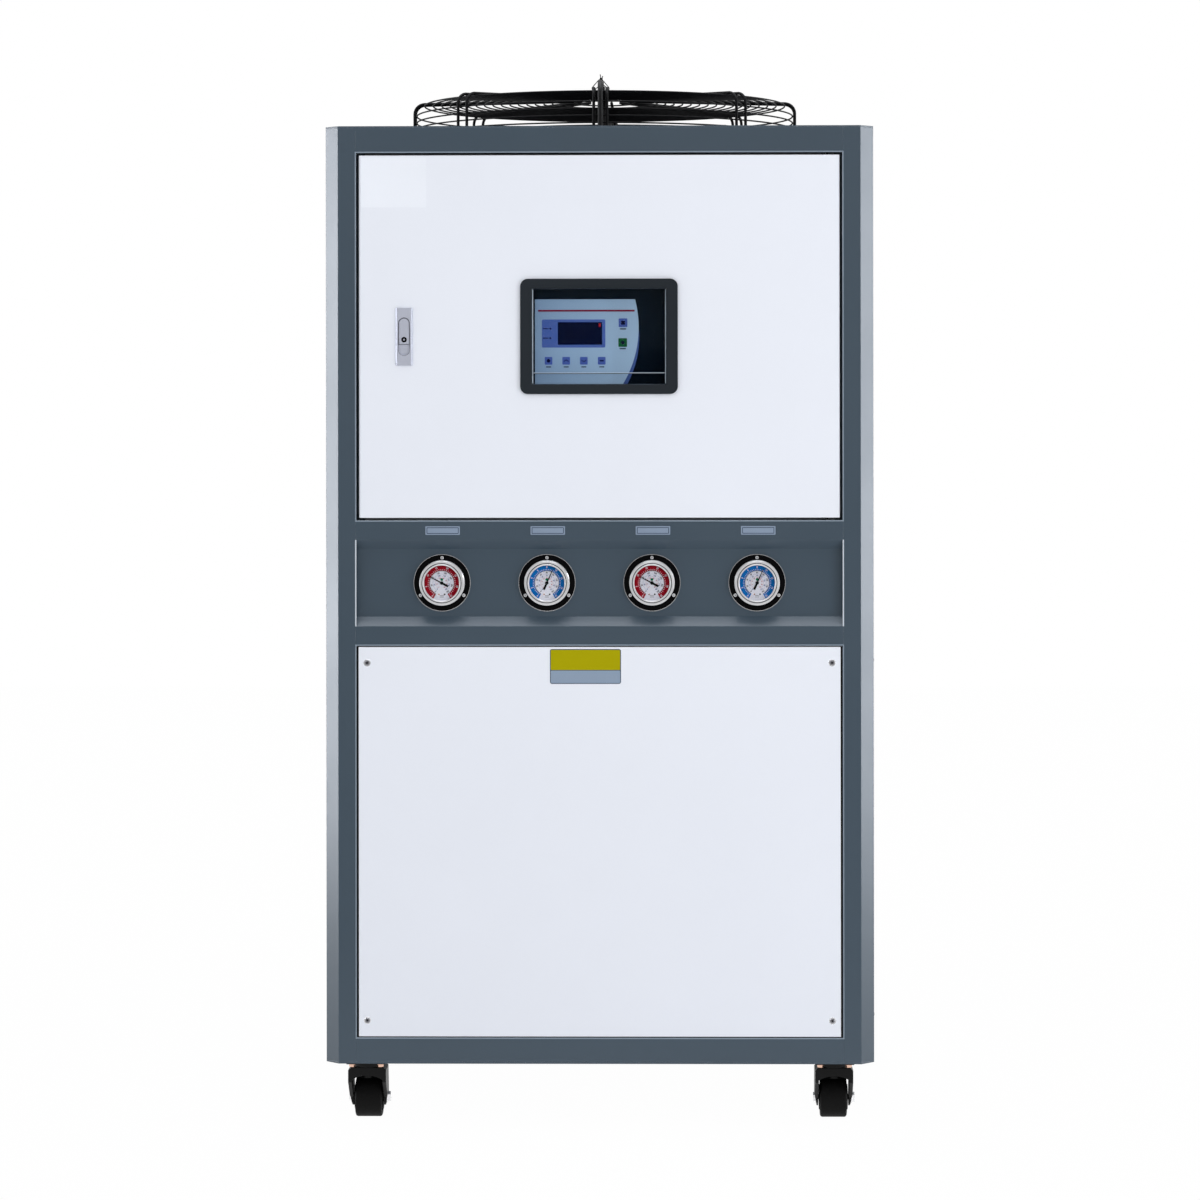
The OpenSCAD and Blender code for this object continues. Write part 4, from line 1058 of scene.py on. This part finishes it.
def cable_tie(lead_up, lead_radius):
    """A strap round the wire pair and the lead above it, with its lock and its two tails."""
    wire = SPOKE_WIRE / 2 + WIRE_SPARE
    circles = [(-SPOKE_PAIR / 2, 0, wire), (SPOKE_PAIR / 2, 0, wire), (0, lead_up, lead_radius)]
    tie = hoop(snug(circles, TIE_GAP + TIE_STRIP), snug(circles, TIE_GAP), TIE_WIDTH)
    top = lead_up + lead_radius
    wide, tall, deep = TIE_LOCK
    lock = plate(round_rect(wide, tall, 0.8 * MM), deep, 0.4 * MM)
    stamp(tie, lock, at(0, top) @ at(*TIE_LOCK_PLACE))
    for x, long, lean in TIE_TAILS:
        tail = plate(round_rect(TIE_TAIL_WIDE, long, 0.4 * MM), TIE_WIDTH * 0.8)
        stamp(tie, tail, at(x, top + TIE_TAIL_UP + long / 2, TIE_TAIL_IN) @ turned(lean))
    return tie


def cable_ties():
    """Ties that hold each motor lead to the wires of the front spoke."""
    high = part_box("motor_leads")[1]
    lead_radius = high.x
    flange_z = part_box("fan_cowls")[1].z
    bm = bmesh.new()
    for reach in TIE_REACH:
        spoke_z = flange_z + GUARD_HEIGHT - SPOKE_WIRE / 2 + GUARD_RISE * (1 - reach / GUARD_RIM)
        tie = cable_tie(high.z - lead_radius - spoke_z, lead_radius)
        for y in fan_centres():
            stamp(bm, tie, at(0, y - reach, spoke_z) @ FLAT)
    piece("cable_ties", bm, LEAD)


# Coil fins

FIN_PITCH = 2.3 * MM
FIN_THICK = 0.5 * MM
FIN_OUT = 0.6 * MM
FIN_IN = 5.2 * MM
FIN_LEAN, FIN_UNEVEN = mm(0.18, 0.15)
FIN_SHORT = 1 * MM
FIN_SEED = 11
COIL_END = 22 * MM
COIL_GAP = 1 * MM
TUBE_PITCH = 25.4 * MM
TUBE_RADIUS = 4.8 * MM
TUBE_IN = 7.2 * MM


def coil_bays():
    """The (start, end) of each bay's fins along Y."""
    low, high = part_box("coils")
    inner = MIDDLE_POST / 2 + COIL_GAP + COIL_END
    return [(low.y + COIL_END, middle_y - inner), (middle_y + inner, high.y - COIL_END)]


def fin_pack(sign, rng):
    low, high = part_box("coils")
    bm = bmesh.new()
    for start, end in coil_bays():
        for i in range(int((end - start) / FIN_PITCH)):
            y = start + (i + 0.5) * FIN_PITCH
            lean = rng.uniform(-FIN_LEAN, FIN_LEAN)
            out = FIN_OUT + rng.uniform(-FIN_UNEVEN, FIN_UNEVEN)
            x0, x1 = sign * (high.x - FIN_IN), sign * (high.x + out)
            y0, y1 = y - FIN_THICK / 2, y + FIN_THICK / 2
            flat = [(x0, y0), (x1, y0 + lean), (x1, y1 + lean), (x0, y1)]
            foot = [bm.verts.new((*p, low.z + FIN_SHORT)) for p in flat]
            head = [bm.verts.new((*p, high.z - FIN_SHORT)) for p in flat]
            bm.faces.new(foot)
            bm.faces.new(head)
            for k in range(4):
                bm.faces.new((foot[k], foot[(k + 1) % 4], head[(k + 1) % 4], head[k]))
    return outwards(bm)


def coil_tubes(sign):
    low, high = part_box("coils")
    bm = bmesh.new()
    for start, end in coil_bays():
        tube = lathe([(0, 0), (TUBE_RADIUS, 0), (TUBE_RADIUS, end - start), (0, end - start)], 12)
        for i in range(int((high.z - low.z) / TUBE_PITCH)):
            z = low.z + (i + 0.5) * TUBE_PITCH
            stamp(bm, tube, at(sign * (high.x - TUBE_IN), start, z) @ turned(-90, "X"))
    return bm


def coils():
    rng = random.Random(FIN_SEED)
    for side, sign in (("right", 1), ("left", -1)):
        piece(f"coil_fins_{side}", fin_pack(sign, rng), FIN_METAL)
        piece(f"coil_tubes_{side}", coil_tubes(sign), COPPER)


# Casters and rear ports

CASTER_PLATE_T = 4 * MM
CASTER_BOLT = mm(8.5, 5)
CASTER_BOLTS = mm(21, 34)
SWIVEL_IN = 43 * MM
AXLE_NUT = mm(13, 5.5)
AXLE_HEAD = mm(12, 3.6)
LEG_FACE_IN = 3.2 * MM
THREAD_PITCH = 2.3 * MM
THREAD_TURNS = 9
THREAD_DEEP, THREAD_BACK, THREAD_GAP = mm(1.1, 0.6, 0.05)
THREAD_START = 1.5 * MM
SOCKET_BORE = 28.3 * MM


def casters():
    """Plate bolts, and an axle nut and head that swivel with each fork."""
    plates_low, plates_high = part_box("caster_plates")
    spots = []
    for corner in CASTERS:
        low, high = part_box("fork_" + corner)
        fork, axle = middle("fork_" + corner), middle("wheel_" + corner)
        nut = at(high.x - LEG_FACE_IN, axle.y, axle.z) @ turned(90, "Y")
        head = at(low.x + LEG_FACE_IN, axle.y, axle.z) @ turned(-90, "Y")
        nuts = stamp(copies(hex_head(*AXLE_NUT), [nut]), hex_head(*AXLE_HEAD), head)
        piece("axle_nuts_" + corner, nuts, CHROME, "caster_" + corner)
        swivel_y = plates_low.y + SWIVEL_IN if "front" in corner else plates_high.y - SWIVEL_IN
        under = plates_high.z - CASTER_PLATE_T
        for sx, sy in CORNERS:
            spot = at(fork.x + sx * CASTER_BOLTS[0], swivel_y + sy * CASTER_BOLTS[1], under)
            spots.append(spot @ turned(180, "X"))
    piece("caster_bolts", copies(hex_head(*CASTER_BOLT), spots), GOLD_ZINC)


def socket_threads():
    """Thread ridges inside the mouths of the two water sockets."""
    low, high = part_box("water_sockets")
    outer = (high.z - low.z) / 2
    bore = SOCKET_BORE + THREAD_GAP
    profile = [(bore, 0)]
    for i in range(THREAD_TURNS):
        h = -i * THREAD_PITCH
        profile += [(bore, h - 0.2 * THREAD_PITCH), (bore - THREAD_DEEP, h - 0.6 * THREAD_PITCH)]
    depth = -THREAD_TURNS * THREAD_PITCH
    profile += [(bore, depth), (bore + THREAD_BACK, depth), (bore + THREAD_BACK, 0)]
    z, out = middle("water_sockets").z, high.y - rear_y - THREAD_START
    spots = [on_face(REAR, x, z, out) for x in (low.x + outer, high.x - outer)]
    piece("socket_threads", copies(ring(profile, 64), spots), BRASS)


# Stage


def add_camera():
    data = bpy.data.cameras.new("camera")
    data.sensor_width = SENSOR_MM
    data.lens = FOCAL_MM
    data.shift_x = (PHOTO_PX / 2 - AXIS_PX[0]) / PHOTO_PX
    data.shift_y = (AXIS_PX[1] - PHOTO_PX / 2) / PHOTO_PX
    data.clip_end = CLIP_END
    camera = show("camera", data)
    place = at(CAMERA_X, front_y - CAMERA_DISTANCE, CAMERA_Z)
    camera.matrix_world = place @ turned(CAMERA_YAW_DEG) @ FLAT @ turned(CAMERA_ROLL_DEG)
    scene.camera = camera


def mirrored_rays(path, tree):
    """1 for rays off gloss or through glass."""
    inputs = {0: path.outputs["Is Glossy Ray"], 1: path.outputs["Is Transmission Ray"]}
    return add(tree, "Math", inputs, operation="MAXIMUM").outputs[0]


def add_world():
    """White to the camera, an even soft light on the object, and a dimmer camera side in reflections."""
    world = bpy.data.worlds.new("studio")
    scene.world = world
    world.use_nodes = True
    tree = world.node_tree
    path = add(tree, "LightPath")
    way = add(tree, "TexCoord").outputs["Generated"]
    ahead = add(tree, "SeparateXYZ", {"Vector": way}).outputs["Y"]
    mirrored = spread(tree, ahead, GLOSS_FRONT, 1.0, *WORLD_DIM, interpolation_type="SMOOTHSTEP")
    lit = add(tree, "Mix", {0: mirrored_rays(path, tree), 2: AMBIENT, 3: mirrored}).outputs[0]
    level = add(tree, "Mix", {0: path.outputs["Is Camera Ray"], 2: lit, 3: 1.0}).outputs[0]
    feed(tree, tree.nodes["Background"], {"Color": (1, 1, 1, 1), "Strength": level})


def add_floor():
    """A pale floor that reads white to the camera and dims towards it in reflections."""
    bm = bmesh.new()
    bmesh.ops.create_grid(bm, x_segments=1, y_segments=1, size=FLOOR_HALF)
    mesh = bpy.data.meshes.new("floor")
    bm.to_mesh(mesh)
    bm.free()
    floor = show("floor", mesh)
    material, tree, shader = new_material("pale_floor")
    tree.nodes.remove(shader)
    path = add(tree, "LightPath")
    place = add(tree, "TexCoord").outputs["Object"]
    ahead = add(tree, "SeparateXYZ", {"Vector": place}).outputs["Y"]
    start, end = [front_y - distance for distance in FLOOR_DIM]
    dimmed = spread(tree, ahead, GLOSS_FRONT, FLOOR_MIRRORED, start, end)
    mirrored = mirrored_rays(path, tree)
    level = add(tree, "Mix", {0: mirrored, 2: 1.0, 3: dimmed}).outputs[0]
    inputs = {0: mirrored, 1: path.outputs["Is Camera Ray"]}
    seen = add(tree, "Math", inputs, operation="MAXIMUM").outputs[0]
    share = add(tree, "Math", {0: seen, 1: FLOOR_GLOW}, operation="MULTIPLY").outputs[0]
    matt = add(tree, "BsdfDiffuse", {"Color": FLOOR_COLOUR})
    glow = add(tree, "Emission", {"Color": (1, 1, 1, 1), "Strength": level})
    both = add(tree, "MixShader", {0: share, 1: matt.outputs[0], 2: glow.outputs[0]})
    feed(tree, tree.nodes["Material Output"], {"Surface": both.outputs[0]})
    mesh.materials.append(material)


# Lamps as name, place, target, size and power, with Y counted from the cabinet's front
AIM = (0, 0, 1.1)
GLOSSY_STRIPS = (
    ("left_strip", (-2.6, 0.18, 1.1), (-half_width, 0, 1.0), (0.6, 1.9), 62),
    ("right_strip", (2.6, 0.1, 1.05), (half_width, 0, 0.95), (0.6, 1.9), 46),
    ("top_strip", (0, -0.2, 3.8), (0, 0, 0.8), (2.6, 1.6), 80),
)
MATT_FILLS = (
    ("front_fill", (0.4, -4.0, 2.2), AIM, (3.0, 2.0), 30),
    ("right_fill", (2.6, -2.4, 1.0), AIM, (1.2, 1.6), 20),
)


def add_softbox(name, place, target, size, power, matt):
    """A rectangular lamp for matt surfaces, or a tinted one that shows in glossy surfaces only."""
    data = bpy.data.lights.new(name, "AREA")
    data.shape = "RECTANGLE"
    data.size, data.size_y = size
    data.energy = power
    lamp = show(name, data)
    lamp.location = Vector(place) + Vector((0, front_y, 0))
    lamp.rotation_euler = (Vector(target) - Vector(place)).to_track_quat("-Z", "Y").to_euler()
    lamp.visible_diffuse = matt
    lamp.visible_glossy = not matt
    if not matt:
        data.color = STRIP_COLOUR


def add_lights():
    for strip in GLOSSY_STRIPS:
        add_softbox(*strip, matt=False)
    for fill in MATT_FILLS:
        add_softbox(*fill, matt=True)


finish_nodes()
panel_screws()
front_lips()
gauges()
gauge_tags()
labels()
controller()
cover_edges()
lock_details()
fan_fixings()
cable_ties()
coils()
casters()
socket_threads()
add_camera()
add_world()
add_floor()
add_lights()
scene.view_settings.view_transform = "Standard"
